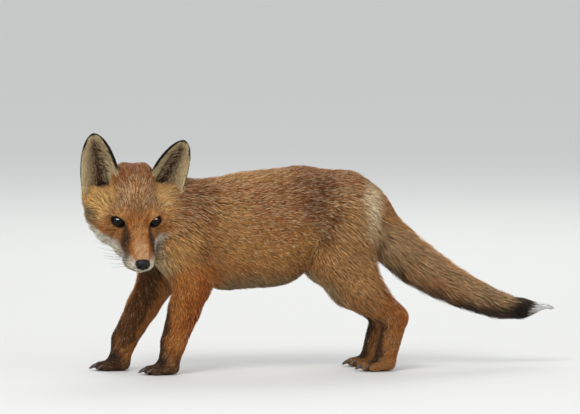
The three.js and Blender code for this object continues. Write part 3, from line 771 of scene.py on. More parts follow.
class Mesher:
    """Meshes a field on a grid whose spacing may differ along each axis."""

    def __init__(self, axes: Sequence[Array], measure: Callable[[Array], Array], stride: int = 4) -> None:
        """Keeps the grid's three axes, the field, and how many nodes apart the first rough look is."""
        self.axes = [np.asarray(a, dtype=np.float64) for a in axes]
        self.measure = measure
        self.stride = stride

    def _places(self, i: Array, j: Array, k: Array) -> Array:
        """Gives the places of nodes."""
        return np.stack([self.axes[0][i], self.axes[1][j], self.axes[2][k]], axis=1)

    def _values(self) -> Array:
        """Measures the field at the nodes near the surface; the rest only get its sign."""
        s = self.stride
        shape = tuple(len(a) for a in self.axes)
        coarse = [np.unique(np.r_[np.arange(0, n, s), n - 1]) for n in shape]
        grid = np.meshgrid(*coarse, indexing="ij")
        rough = self.measure(self._places(*(g.ravel() for g in grid))).reshape(grid[0].shape)
        nearest = [np.clip((np.arange(n) + s // 2) // s, 0, len(c) - 1) for n, c in zip(shape, coarse)]
        values = rough[np.ix_(*nearest)]
        cells = [np.minimum(np.arange(n) // s, len(c) - 2) for n, c in zip(shape, coarse)]
        spans = [np.diff(a[c]) for a, c in zip(self.axes, coarse)]
        reach = np.sqrt(
            spans[0][:, None, None] ** 2 + spans[1][None, :, None] ** 2 + spans[2][None, None, :] ** 2
        )
        corners = [
            np.abs(rough[a:rough.shape[0] - 1 + a, b:rough.shape[1] - 1 + b, c:rough.shape[2] - 1 + c])
            for a, b, c in CORNERS
        ]
        live = np.minimum.reduce(corners) < reach * 1.15
        grown = live.copy()
        for axis in range(3):
            for step in (-1, 1):
                grown |= np.roll(live, step, axis)
        busy = grown[np.ix_(*cells)]
        i, j, k = np.nonzero(busy)
        values[i, j, k] = self.measure(self._places(i, j, k))
        return values

    def _part_sheets(self, values: Array) -> None:
        """Changes the weakest corner of each face on which two sheets would touch."""
        barely = 0.02
        for _ in range(8):
            flips = 0
            for first, second in ((0, 1), (1, 2), (0, 2)):
                steps = np.zeros((4, 3), dtype=int)
                steps[:, first], steps[:, second] = (0, 1, 0, 1), (0, 0, 1, 1)
                size = np.array(values.shape)
                size[[first, second]] -= 1
                p, q, r, s = (
                    values[tuple(slice(a, a + n) for a, n in zip(step, size))] < 0 for step in steps
                )
                bad = np.argwhere((p == s) & (q == r) & (p != q))
                for at in bad:
                    weakest = min((tuple(at + step) for step in steps), key=lambda n: abs(values[n]))
                    values[weakest] = barely if values[weakest] < 0 else -barely
                flips += len(bad)
            if not flips:
                return

    def mesh(self) -> Surface:
        """Builds the surface: a point in each crossed cell, a face across each crossed edge."""
        values = self._values()
        self._part_sheets(values)
        inside = values < 0
        shape = tuple(n - 1 for n in values.shape)
        count = np.zeros(shape, dtype=np.int8)
        for a, b, c in CORNERS:
            count += inside[a:shape[0] + a, b:shape[1] + b, c:shape[2] + c]
        i, j, k = np.nonzero((count > 0) & (count < 8))
        ids = np.full(shape, -1, dtype=np.int64)
        ids[i, j, k] = np.arange(len(i))
        total = np.zeros((len(i), 3))
        hits = np.zeros(len(i))
        corner = [values[i + a, j + b, k + c] for a, b, c in CORNERS]
        place = [self._places(i + a, j + b, k + c) for a, b, c in CORNERS]
        for a, b in EDGES:
            crossed = (corner[a] < 0) != (corner[b] < 0)
            gap = np.where(crossed, corner[a] - corner[b], 1.0)
            t = (corner[a] / gap)[:, None]
            spot = place[a] + (place[b] - place[a]) * t
            total += np.where(crossed[:, None], spot, 0.0)
            hits += crossed
        points = total / hits[:, None]
        faces = []
        around = [
            ((1, 0, 0), ((0, -1, -1), (0, 0, -1), (0, 0, 0), (0, -1, 0))),
            ((0, 1, 0), ((-1, 0, -1), (-1, 0, 0), (0, 0, 0), (0, 0, -1))),
            ((0, 0, 1), ((-1, -1, 0), (0, -1, 0), (0, 0, 0), (-1, 0, 0))),
        ]
        for step, cells in around:
            near = inside[:inside.shape[0] - step[0], :inside.shape[1] - step[1], :inside.shape[2] - step[2]]
            far = inside[step[0]:, step[1]:, step[2]:]
            edge = np.argwhere(near != far)
            quad = np.stack([ids[tuple((edge + np.array(c)).T)] for c in cells], axis=1)
            starts_inside = near[tuple(edge.T)]
            quad = np.where(starts_inside[:, None], quad, quad[:, ::-1])
            faces.append(quad)
        quads = np.concatenate(faces)
        short = np.linalg.norm(points[quads[:, 0]] - points[quads[:, 2]], axis=1) <= np.linalg.norm(
            points[quads[:, 1]] - points[quads[:, 3]], axis=1
        )
        first = np.where(short[:, None], quads[:, [0, 1, 2]], quads[:, [0, 1, 3]])
        second = np.where(short[:, None], quads[:, [0, 2, 3]], quads[:, [1, 2, 3]])
        return Surface(points, np.concatenate([first, second]))


def settle(surface: Surface, measure: Callable[[Array], Array], longest: float = 0.9) -> None:
    """Moves a surface's points onto its field, by no more than `longest` mm in each of two rounds."""
    for _ in range(2):
        p = surface.points
        slope = gradient(measure, p)
        d = measure(p)
        shift = slope * (-d / np.maximum((slope * slope).sum(axis=1), 0.15))[:, None]
        length = np.linalg.norm(shift, axis=1, keepdims=True)
        surface.points = p + shift * np.minimum(1.0, longest / np.maximum(length, 1e-9))


def refine(surface: Surface, wanted: Callable[[Array], Array]) -> Surface:
    """Splits the edges that are longer than wanted, the same way in both triangles of each edge.

    Args:
        surface: The surface to split.
        wanted: Gives the longest edge that is allowed at a point.

    Returns:
        The finer surface.
    """
    faces, points = surface.faces, surface.points
    pairs = np.sort(np.stack([faces, np.roll(faces, -1, axis=1)], axis=2).reshape(-1, 2), axis=1)
    edges, own = np.unique(pairs, axis=0, return_inverse=True)
    own = own.reshape(-1, 3)
    middle = points[edges].mean(axis=1)
    long = np.linalg.norm(points[edges[:, 0]] - points[edges[:, 1]], axis=1) > wanted(middle)
    new_id = np.full(len(edges), -1)
    new_id[long] = len(points) + np.arange(long.sum())
    points = np.concatenate([points, middle[long]])
    m = new_id[own]
    out = []
    for code in range(8):
        split = [(code >> i) & 1 for i in range(3)]
        rows = np.all((m >= 0) == np.array(split, dtype=bool), axis=1)
        if not rows.any():
            continue
        f, e = faces[rows], m[rows]
        if sum(split) == 0:
            out.append(f)
        elif sum(split) == 1:
            i = split.index(1)
            a, b, c = f[:, i], f[:, (i + 1) % 3], f[:, (i + 2) % 3]
            out += [np.stack([a, e[:, i], c], 1), np.stack([e[:, i], b, c], 1)]
        elif sum(split) == 2:
            i = split.index(0)
            a, b, c = f[:, i], f[:, (i + 1) % 3], f[:, (i + 2) % 3]
            bc, ca = e[:, (i + 1) % 3], e[:, (i + 2) % 3]
            out += [np.stack([a, b, bc], 1), np.stack([a, bc, ca], 1), np.stack([ca, bc, c], 1)]
        else:
            a, b, c = f.T
            ab, bc, ca = e.T
            out += [np.stack(t, 1) for t in ((a, ab, ca), (ab, b, bc), (ca, bc, c), (ab, bc, ca))]
    return Surface(points, np.concatenate(out))


def spaced(stops: Sequence[tuple[float, float]], end: float) -> Array:
    """Makes an axis whose spacing changes: each stop gives a start and the spacing from there on."""
    out = []
    ends = [s[0] for s in stops[1:]] + [end]
    for (start, step), stop in zip(stops, ends):
        count = max(1, round((stop - start) / step))
        out.append(np.linspace(start, stop, count, endpoint=False))
    return np.concatenate([*out, [end]])


# ------------------------------------------------------------------ markings

class Tone(Enum):
    """Colours of the coat, 0 to 255 as seen; a few of them are painted shade."""

    RUFOUS = (150, 98, 56)
    BACK = (182, 136, 84)
    SADDLE = (136, 86, 50)
    LOINS = (92, 48, 22)
    SAND = (176, 130, 72)
    FLANK = (156, 106, 60)
    FUR_GREY = (124, 104, 72)
    THIGH = (170, 126, 78)
    RUMP = (216, 194, 156)
    FOX_ORANGE = (166, 98, 42)
    SHOULDER = (188, 140, 82)
    NECK = (128, 80, 42)
    RUST = (150, 80, 32)
    SOOT = (46, 30, 22)
    BLACK = (18, 14, 13)
    CREAM = (190, 170, 130)
    WHITE = (204, 196, 178)
    TIP = (238, 236, 230)
    LID = (9, 7, 7)
    OCHRE = (216, 172, 106)
    BROW = (148, 108, 66)
    BRIDGE = (178, 124, 74)
    BRIDGE_TIP = (198, 158, 116)
    FORELEG = (178, 110, 50)
    FORELEG_INNER = (74, 50, 28)
    TAIL_TOP = (190, 138, 80)
    TAIL = (164, 132, 94)
    TAIL_UNDER = (58, 44, 28)
    EAR_DARK = (62, 38, 24)
    EAR_HAIR = (170, 150, 112)


@dataclass(frozen=True)
class Mark:
    """A soft patch of colour: an ellipsoid about `at`, or a bar from `at` to `to`.

    half is the ellipsoid's half sizes, or the bar's radius at its start and its end. strength is how much
    the patch covers in its middle, and edge is how softly it ends.
    """

    tone: Tone
    at: Vec
    half: Vec
    space: Space
    to: Optional[Vec]
    strength: float
    edge: float

    def cover(self, p: Array, q: Array) -> Array:
        """How much the mark covers each point, 0 to 1."""
        own = q if self.space in (Space.HEAD, Space.HEAD_PAIR) else p
        if self.space in (Space.HEAD_PAIR, Space.BODY_PAIR):
            own = folded(own)
        rel = own - np.array(self.at)
        if self.to is None:
            r = np.linalg.norm(rel / np.array(self.half), axis=1)
        else:
            line = np.array(self.to) - np.array(self.at)
            t = np.clip(rel @ line / (line @ line), 0, 1)
            size = self.half[0] + (self.half[1] - self.half[0]) * t
            r = np.linalg.norm(rel - t[:, None] * line, axis=1) / size
        return self.strength * (1 - smooth(1 - self.edge, 1 + self.edge, r))


def patch(
    tone: Tone, at: Sequence[float], half: Vec, strength: float = 1.0, edge: float = 0.35,
    space: Space = Space.BODY_PAIR,
) -> Mark:
    """Makes an ellipsoid of colour."""
    return Mark(tone, tuple(at), half, space, None, strength, edge)


def stripe(
    tone: Tone, start: Sequence[float], radii: tuple[float, float], end: Sequence[float],
    strength: float = 1.0, edge: float = 0.35, space: Space = Space.BODY,
) -> Mark:
    """Makes a bar of colour."""
    return Mark(tone, tuple(start), (*radii, 0), space, tuple(end), strength, edge)


def body_marks() -> list[Mark]:
    """Markings of the trunk, the legs and the tail, from the largest to the smallest, with painted shade in
    front of the hips and inside the forelegs.
    """
    marks = [
        patch(Tone.FLANK, (-90, 40, 150), (90, 45, 42)),
        patch(Tone.RUFOUS, (-60, 0, 228), (150, 75, 62), edge=0.4),
        patch(Tone.SADDLE, (-20, 0, 228), (80, 60, 34), 0.6, 0.6),
        patch(Tone.BACK, (-85, 18, 238), (48, 22, 16), 0.7, 0.6),
        patch(Tone.SHOULDER, (-185, 25, 160), (48, 60, 50), 0.9),
        patch(Tone.NECK, (-168, 30, 205), (32, 40, 34), 0.8, 0.6),
        patch(Tone.SAND, (-112, 42, 178), (24, 40, 40), 0.5, 0.6),
        patch(Tone.SAND, (-70, 45, 140), (40, 40, 20), 0.45, 0.6),
        patch(Tone.SADDLE, (-140, 45, 150), (10, 40, 38), 0.45, 0.7),
        # the grey of the belly's own fur
        patch(Tone.FUR_GREY, (-70, 0, 98), (110, 60, 18), 0.9, 0.5),
        patch(Tone.THIGH, (40, 40, 150), (52, 60, 66), 0.9),
        patch(Tone.BACK, (48, 40, 112), (22, 30, 16), 0.6, 0.7),
        # partly the darker fur of the loins, partly painted shade in the crease in front of the thigh
        stripe(Tone.LOINS, (-8, 38, 226), (24, 17), (-2, 50, 172), 0.85, 0.8, Space.BODY_PAIR),
        patch(Tone.SAND, (-20, 45, 154), (14, 40, 20), 0.75, 0.6),
        patch(Tone.RUMP, (61, 30, 196), (12, 34, 32), 0.95, 0.6),
        patch(Tone.TAIL_UNDER, (78, 14, 150), (9, 24, 26), 0.7, 0.6),
        patch(Tone.CREAM, (30, 6, 110), (45, 14, 40), 0.7),
        patch(Tone.CREAM, (-200, 0, 146), (40, 22, 36), 0.9, 0.4),
        patch(Tone.CREAM, (-218, -36, 126), (30, 34, 26), 0.8, 0.5, space=Space.BODY),
    ]
    for leg in FORELEGS:
        elbow, wrist, shoulder = leg.joint("elbow"), leg.joint("wrist"), leg.joint("shoulder")
        inner = np.array([0, -leg.side * 17, 0])
        front = np.array([-13, 0, 0])
        marks += [
            stripe(Tone.FORELEG, elbow, (30, 20), wrist, 0.9),
            stripe(Tone.RUST, elbow + [10, leg.side * 10, -6], (16, 14), wrist + [9, 0, 0], 0.85),
            # painted shade on the inner side of each foreleg, from the shoulder down to the wrist
            stripe(Tone.FORELEG_INNER, shoulder + inner, (17, 12), wrist + inner * 0.7, 0.85),
            stripe(Tone.SOOT, wrist + front + [0, 0, 52], (9, 13), leg.ball + [0, 0, 14], 0.85, 0.5),
            patch(Tone.SOOT, leg.ball + [-8, 0, 8], (26, 24, 14), 0.85, space=Space.BODY),
        ]
    for leg in HINDLEGS:
        knee, calf, hock = leg.joint("knee"), leg.joint("calf"), leg.joint("hock")
        marks += [
            stripe(Tone.RUST, calf + [18, 0, 10], (14, 17), hock + [6, 0, 0], 0.75, 0.6),
            stripe(Tone.CREAM, knee + [-16, 0, -18], (7, 6), calf + [-18, 0, -14], 0.35, 0.6),
            stripe(Tone.SOOT, hock + [-14, 0, 0], (9, 12), leg.ball + [-12, 0, 10], 0.85),
            stripe(Tone.FOX_ORANGE, hock + [10, 0, 0], (13, 12), leg.ball + [12, 0, 6], 0.7),
        ]
    marks += [
        stripe(Tone.TAIL, (90, 2, 150), (34, 22), (236, 17, 74), 0.95),
        stripe(Tone.TAIL_TOP, (98, 2, 172), (17, 12), (190, 12, 104), 0.8, 0.5),
        stripe(Tone.TAIL_UNDER, (92, 4, 120), (17, 17), (160, 9, 80), 0.85, 0.6),
        stripe(Tone.TAIL_UNDER, (160, 9, 82), (14, 15), (236, 16, 58), 0.9, 0.55),
        stripe(Tone.SOOT, (182, 10, 70), (16, 19), (246, 17, 60), 0.8, 0.6),
        patch(Tone.BLACK, (254, 18, 66), (17, 24, 20), 0.95, 0.45, space=Space.BODY),
        patch(Tone.TIP, (288, 20, 72), (27, 24, 22), edge=0.2, space=Space.BODY),
    ]
    return marks


HP = Space.HEAD_PAIR
HEAD_MARKS = [
    patch(Tone.FOX_ORANGE, (0, 0, -5), (62, 60, 50), edge=0.2, space=HP),
    patch(Tone.NECK, (-50, 0, 28), (27, 24, 30), 1.0, 0.45, space=HP),
    patch(Tone.BROW, (-16, 0, 20), (24, 27, 16), 0.9, 0.5, space=HP),
    patch(Tone.OCHRE, (-6, 17, 10), (11, 9, 7), 0.5, 0.6, space=HP),
    patch(Tone.OCHRE, (-40, 35, 6), (18, 17, 20), 0.9, 0.5, space=HP),
    patch(Tone.OCHRE, (-26, 40, -4), (16, 15, 13), 0.75, 0.5, space=HP),
    patch(Tone.OCHRE, (-54, 52, -4), (18, 15, 20), 0.8, 0.5, space=HP),
    # painted shade, together with the grey-brown of the ticked fur, on the side of the face below the ear,
    # between the ochre and the white
    patch(Tone.FUR_GREY, (-34, 50, -14), (20, 11, 12), 0.9, 0.6, space=HP),
    patch(Tone.BROW, (0, 27, -10), (18, 13, 12), 0.6, 0.6, space=HP),
    stripe(Tone.BRIDGE, (8, 0, 2), (9, 8), (52, 0, -6), 0.95, space=HP),
    stripe(Tone.BRIDGE_TIP, (40, 0, -5), (8, 8), (56, 0, -8), 0.8, 0.6, space=HP),
    stripe(Tone.WHITE, (50, 10, -23), (10, 11), (10, 24, -31), 1.0, 0.3, space=HP),
    stripe(Tone.WHITE, (12, -24, -33), (8, 10), (-42, -52, -36), 1.0, 0.35, space=Space.HEAD),
    stripe(Tone.WHITE, (12, 24, -31), (8, 9), (-16, 43, -25), 1.0, 0.35, space=Space.HEAD),
    stripe(Tone.WHITE, (-16, 43, -25), (9, 12), (-42, 54, -30), 1.0, 0.35, space=Space.HEAD),
    stripe(Tone.WHITE, (47, 0, -38), (17, 28), (-30, 10, -56), 1.0, 0.25, space=HP),
    stripe(Tone.SOOT, (7, 14, -3), (4.2, 7.5), (21, 16, -10), 0.85, 0.6, space=HP),
    stripe(Tone.SOOT, (21, 16.5, -10), (7.5, 7.0), (36, 14, -18), 0.85, 0.6, space=HP),
    patch(Tone.WHITE, (56, 9, -20), (6, 5, 7), 0.85, 0.5, space=HP),
    patch(Tone.WHITE, (57, 0, -27), (8, 9, 8), 0.9, 0.4, space=HP),
]
BODY_MARKS = body_marks()


def tone(mark: Tone) -> Array:
    """A tone in linear light."""
    return linear(mark.value)


def lay(colour: Array, mark: Tone, cover: Array) -> Array:
    """Lays a tone over colours."""
    return colour + (tone(mark) - colour) * cover[:, None]


def markings(p: Array) -> Array:
    """The coat's colour at points of the body.

    Args:
        p: Points in the body's frame, mm.

    Returns:
        Colours in linear light.
    """
    q = HEAD.inward(p)
    loose = p + ripple(p, 26, SEED) * 3.0 + ripple(p, 9, SEED + 1) * 1.2
    loose_q = q + ripple(q, 14, SEED + 2) * 1.2
    colour = np.tile(tone(Tone.FLANK), (len(p), 1))
    for mark in BODY_MARKS:
        colour = lay(colour, mark.tone, mark.cover(loose, q))
    on_head = 1 - smooth(-3, 12, HEAD_GROUP.join(p, q, 0.0))
    face = colour
    for mark in HEAD_MARKS:
        face = lay(face, mark.tone, mark.cover(p, loose_q))
    colour = colour + (face - colour) * on_head[:, None]
    rims = np.maximum(eye_terms(q)[0], -eye_terms(q)[1])
    colour = lay(colour, Tone.LID, on_head * (1 - smooth(1.3, 2.8, rims)))
    lips = bump(mouth_line(q), 0.0, 1.9) * on_head * smooth(4, 10, q[:, 0])
    colour = lay(colour, Tone.BLACK, lips)
    for ear in EARS:
        near = ear.room().holds(p)
        if near.any():
            colour[near] = ear_colour(ear, p[near], colour[near])
    return colour


def ear_colour(ear: Ear, p: Array, colour: Array) -> Array:
    """Lays an ear's own colours over the coat's, with a painted shadow in the fold at the bottom of its
    hollow.
    """
    v, angle, lift, spread, _ = ear.local(p)
    length = ear.frame()[4]
    own = (ear.distance(p, 0.0) < 2.5) & (v * length > ear.root * 0.75)
    share = ear.share(v)
    turn = angle / np.maximum(spread, 1e-3)
    medial = turn * ear.side
    inside = 1 - smooth(-0.6, 0.6, lift)
    back = lay(colour, Tone.BLACK, smooth(0.05, 0.4, share + 0.1 * np.sin(turn * 9)))
    hollow = np.tile(tone(Tone.EAR_HAIR), (len(p), 1))
    outer_hair = smooth(-0.6, -0.85, medial) * smooth(0.75, 0.4, share) * 0.9
    inner_hair = smooth(0.2, 0.45, medial) * smooth(0.8, 0.4, share) * 0.8
    # painted shadow: the fold at the bottom of the ear's hollow is laid black
    deep = bump(share, 0.02, 0.15) * bump(medial, 0.1, 0.5) * 0.9
    inner_rim = smooth(0.8, 0.88, medial) * smooth(0.25, 0.4, share)
    outer_rim = smooth(-0.84, -0.92, medial) * smooth(0.68, 0.8, share)
    hollow = lay(hollow, Tone.EAR_DARK, bump(medial, -0.05, 0.8) * smooth(0.97, 0.8, share))
    for hair in (outer_hair, inner_hair):
        hollow = lay(hollow, Tone.CREAM, hair)
    for black in (deep, inner_rim, outer_rim, smooth(0.93, 0.97, share)):
        hollow = lay(hollow, Tone.BLACK, black)
    mixed = back + (hollow - back) * inside[:, None]
    weight = (own * smooth(ear.root * 0.75, ear.root * 1.15, v * length))[:, None]
    return colour + (mixed - colour) * weight


# ------------------------------------------------------------------ finishes

Wire = tuple[bpy.types.Node, str | int, bpy.types.Node, str | int]


def add_sockets(tree: bpy.types.NodeTree, way: str, **kinds: str) -> None:
    """Gives a node tree its inputs or outputs, by name and kind."""
    for name, kind in kinds.items():
        tree.interface.new_socket(name, in_out=way, socket_type=f"NodeSocket{kind}")


def connect(tree: bpy.types.NodeTree, wires: Sequence[Wire]) -> None:
    """Links nodes: each wire goes from a node's output to another's input."""
    for source, out, target, into in wires:
        tree.links.new(source.outputs[out], target.inputs[into])

@dataclass(frozen=True)
class Finish:
    """A surface's looks. Its colour comes from the mesh; the grain varies it."""

    name: str
    roughness: float
    specular: float = 0.3
    grain: float = 0.0
    grain_scale: float = 900.0
    bump_height: float = 0.0

    def material(self) -> bpy.types.Material:
        """Builds the material."""
        made = bpy.data.materials.new(self.name)
        made.use_nodes = True
        nodes = made.node_tree.nodes
        shader = nodes["Principled BSDF"]
        shader.inputs["Roughness"].default_value = self.roughness
        shader.inputs["Specular IOR Level"].default_value = self.specular
        colour = nodes.new("ShaderNodeAttribute")
        colour.attribute_name = "Coat"
        grain = nodes.new("ShaderNodeGroup")
        grain.node_tree = grain_group()
        grain.inputs["Scale"].default_value = self.grain_scale
        grain.inputs["Amount"].default_value = self.grain
        wires = [(colour, "Color", grain, "Colour"), (grain, "Colour", shader, "Base Color")]
        if self.bump_height:
            relief = nodes.new("ShaderNodeBump")
            relief.inputs["Distance"].default_value = self.bump_height * MM
            relief.inputs["Strength"].default_value = 1.0
            wires += [(grain, "Height", relief, "Height"), (relief, "Normal", shader, "Normal")]
        connect(made.node_tree, wires)
        return made


def grain_group() -> bpy.types.NodeTree:
    """The shared effect that makes a colour a little lighter and darker from place to place."""
    name = "grain"
    if name in bpy.data.node_groups:
        return bpy.data.node_groups[name]
    group = bpy.data.node_groups.new(name, "ShaderNodeTree")
    add_sockets(group, "INPUT", Colour="Color", Scale="Float", Amount="Float")
    add_sockets(group, "OUTPUT", Colour="Color", Height="Float")
    nodes = group.nodes
    start, end = nodes.new("NodeGroupInput"), nodes.new("NodeGroupOutput")
    place = nodes.new("ShaderNodeTexCoord")
    noise = nodes.new("ShaderNodeTexNoise")
    noise.inputs["Detail"].default_value = 3.0
    away, size, about = (nodes.new("ShaderNodeMath") for _ in range(3))
    away.operation, size.operation, about.operation = "SUBTRACT", "MULTIPLY", "ADD"
    away.inputs[1].default_value = 0.5
    about.inputs[1].default_value = 1.0
    scaled = nodes.new("ShaderNodeVectorMath")
    scaled.operation = "SCALE"
    connect(group, [
        (place, "Object", noise, "Vector"), (start, "Scale", noise, "Scale"), (noise, "Fac", away, 0),
        (away, 0, size, 0), (start, "Amount", size, 1), (size, 0, about, 0),
        (start, "Colour", scaled, 0), (about, 0, scaled, "Scale"),
        (scaled, "Vector", end, "Colour"), (noise, "Fac", end, "Height"),
    ])
    return group


SKIN_FINISH = Finish("under_fur", 0.75, 0.15, grain=0.5, grain_scale=700, bump_height=0.3)
FUR_FINISH = Finish("fox_fur", 0.55, 0.2, grain=0.3, grain_scale=260)
EYE_FINISH = Finish("wet_eye", 0.05, 0.14)
NOSE_FINISH = Finish("nose_leather", 0.34, 0.24, grain=0.5, grain_scale=1400, bump_height=0.25)
CLAW_FINISH = Finish("claw_horn", 0.35, 0.45, grain=0.3, grain_scale=500)
WHISKER_FINISH = Finish("whisker", 0.4, 0.3)


# ------------------------------------------------------------------ writing of meshes

@dataclass
class Sheet:
    """A finished piece's mesh before it is written: points in mm, and a colour for each."""

    name: str
    points: Array
    faces: Array
    colours: Array
    finish: Finish
    slot: str
    stands_for: tuple[str, ...] = ()
    bake: Optional[Array] = None


FINISHES: dict[str, bpy.types.Material] = {}  # each is built once, when a piece first needs it
DARKEST, PALEST = 0.002, 0.95


def write(sheet: Sheet) -> bpy.types.Object:
    """Writes a piece into the scene.

    Args:
        sheet: The piece, in millimetres of the body's frame.

    Returns:
        The object, at the frame's origin, riding on the body.
    """
    mesh = bpy.data.meshes.new(sheet.name)
    points = ((sheet.points + CENTRE) * MM).astype(np.float32)
    faces = sheet.faces.astype(np.int32)
    sides = faces.shape[1]
    mesh.vertices.add(len(points))
    mesh.vertices.foreach_set("co", points.ravel())
    mesh.loops.add(faces.size)
    mesh.loops.foreach_set("vertex_index", faces.ravel())
    mesh.polygons.add(len(faces))
    mesh.polygons.foreach_set("loop_start", np.arange(0, faces.size, sides, dtype=np.int32))
    mesh.update(calc_edges=True)
    mesh.polygons.foreach_set("use_smooth", np.ones(len(faces), dtype=bool))
    shade = mesh.color_attributes.new("Coat", "FLOAT_COLOR", "POINT")
    rgba = np.ones((len(points), 4), dtype=np.float32)
    rgba[:, :3] = np.clip(sheet.colours, DARKEST, PALEST)
    shade.data.foreach_set("color", rgba.ravel())
    if sheet.bake is not None:
        chart = mesh.uv_layers.new(name="OFBake")
        chart.data.foreach_set("uv", sheet.bake.astype(np.float32).reshape(-1))
    if sheet.finish.name not in FINISHES:
        FINISHES[sheet.finish.name] = sheet.finish.material()
    mesh.materials.append(FINISHES[sheet.finish.name])
    mesh.validate()
    made = bpy.data.objects.new(sheet.name, mesh)
    bpy.context.scene.collection.objects.link(made)
    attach(made, BODY)
    if sheet.stands_for:
        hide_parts(*sheet.stands_for)
    LOG.info("%s: %d triangles", sheet.name, len(faces) * (sides - 2))
    return made


# ------------------------------------------------------------------ the skin, the eyes and the nose

FLESH = tuple(
    ["head", "face", "lower_jaw", "ear_left", "ear_right", "neck", "trunk"]
    + [f"tail_{n}" for n in ("base", "brush", "tip")]
    + [f"foreleg_{s}_{n}" for s in ("left", "right") for n in ("upper", "forearm", "paw")]
    + [f"hindleg_{s}_{n}" for s in ("left", "right") for n in ("thigh", "shank", "cannon", "paw")]
)


UNDER_FUR = 0.85  # how much of the coat's colour the skin under it has


@dataclass(frozen=True)
class SkinSize:
    """How finely the skin is meshed, mm: cells on the body and the head, then the longest edges."""

    body: float = 3.6
    head: float = 1.42
    eye_edge: float = 0.66 * 1.35
    muzzle_edge: float = 1.05 * 1.35
    anywhere: float = 50.0
    eye_reach: float = 14.0


class Skin:
    """The bare skin of the whole animal in one closed piece."""

    def __init__(self, fox: Fox, size: SkinSize = SkinSize()) -> None:
        """Meshes the skin."""
        self.fox = fox
        self.size = size
        self.surface = self._surface()

    def _wanted(self, p: Array) -> Array:
        """Gives the longest edge allowed at points: short by the eyes, then on the muzzle."""
        q = HEAD.inward(p)
        eye = np.linalg.norm(folded(q) - EYE_AT, axis=1)
        muzzle = (q[:, 0] > 5) & (np.abs(q[:, 1]) < 25) & (q[:, 2] > -45)
        want = np.where(muzzle, self.size.muzzle_edge, self.size.anywhere)
        return np.where(eye < self.size.eye_reach, self.size.eye_edge, want)

    def _surface(self) -> Surface:
        """Meshes the bare field, finely round the head, and splits the edges that are too long."""
        body, head = self.size.body, self.size.head
        axes = [
            spaced([(-305, head), (-158, body)], 300),
            spaced([(-130, head), (20, body)], 80),
            spaced([(-10.3, body), (112, head)], 310),
        ]
        measure = lambda p: self.fox.distance(p, 1.0)
        surface = Mesher(axes, measure).mesh()
        settle(surface, measure)
        for _ in range(2):
            surface = refine(surface, self._wanted)
            settle(surface, measure)
        return surface

    def dress(self) -> bpy.types.Object:
        """Writes the skin."""
        s = self.surface
        colours = markings(s.points) * UNDER_FUR
        return write(Sheet("skin", s.points, s.faces, colours, SKIN_FINISH, "coat", stands_for=FLESH))


@dataclass(frozen=True)
class Eyes:
    """Both eyeballs: a dark pupil in a brown iris that darkens outwards, all wet.

    Colours are 0 to 255 as seen. Each ends at an angle from the gaze, in radians.
    """

    rings: int = 40
    spokes: int = 64
    gaze: Vec = (0.86, 0.3, 0.42)
    pupil: Vec = (2, 2, 2)
    pupil_end: float = 0.36
    iris: Vec = (40, 25, 12)
    iris_edge: Vec = (10, 7, 6)
    iris_dark_from: float = 0.66
    iris_end: float = 0.74
    rim: Vec = (8, 6, 6)

    def build(self, side: int) -> tuple[Array, Array, Array]:
        """Makes one eyeball.

        Args:
            side: 1 for the left eye, -1 for the right.

        Returns:
            Points, faces and colours.
        """
        middle = HEAD.outward(EYE_AT * [1, side, 1])
        gaze = unit(HEAD.direction(np.array(self.gaze) * [1, side, 1]))
        east = unit(np.cross([0, 0, 1.0], gaze))
        north = np.cross(gaze, east)
        fall = np.linspace(0, 1, self.rings + 1)[1:-1] ** 1.25 * math.pi
        turn = np.linspace(0, 2 * math.pi, self.spokes, endpoint=False)
        ring = np.sin(fall)[:, None, None] * (
            np.cos(turn)[None, :, None] * east + np.sin(turn)[None, :, None] * north
        )
        ball = ring + np.cos(fall)[:, None, None] * gaze
        points = np.concatenate([[gaze], ball.reshape(-1, 3), [-gaze]]) * EYE_RADIUS + middle
        n, m = self.rings - 1, self.spokes
        first = np.arange(n * m).reshape(n, m) + 1
        right = np.roll(first, -1, axis=1)
        sides = np.stack([first[:-1], first[1:], right[1:], right[:-1]], axis=2).reshape(-1, 4)
        tris = np.concatenate([sides[:, [0, 1, 2]], sides[:, [0, 2, 3]]])
        top = np.stack([np.zeros(m, dtype=int), first[0], right[0]], axis=1)
        end = np.stack([first[-1], np.full(m, n * m + 1), right[-1]], axis=1)
        faces = np.concatenate([tris, top, end])
        off = np.arccos(np.clip(unit(points - middle) @ gaze, -1, 1))
        inner, outer = linear(self.iris), linear(self.iris_edge)
        colour = inner + (outer - inner) * smooth(self.pupil_end, self.iris_dark_from, off)[:, None]
        colour = np.where((off < self.pupil_end)[:, None], linear(self.pupil), colour)
        colour = np.where((off > self.iris_end)[:, None], linear(self.rim), colour)
        return points, faces, colour

    def dress(self) -> list[bpy.types.Object]:
        """Writes both eyes."""
        return [
            write(Sheet(f"{name}_ball", *self.build(side), EYE_FINISH, "eye", stands_for=(name,)))
            for side, name in ((1, "eye_left"), (-1, "eye_right"))
        ]


class Ball(NamedTuple):
    """An ellipsoid of the nose, the same on both sides: its middle, its half sizes and its fillet's width."""

    at: Vec
    half: Vec
    k: float = 0.0

    def distance(self, q: Array) -> Array:
        """Distance to it."""
        return ellipsoid(folded(q) - np.array(self.at), np.array(self.half))


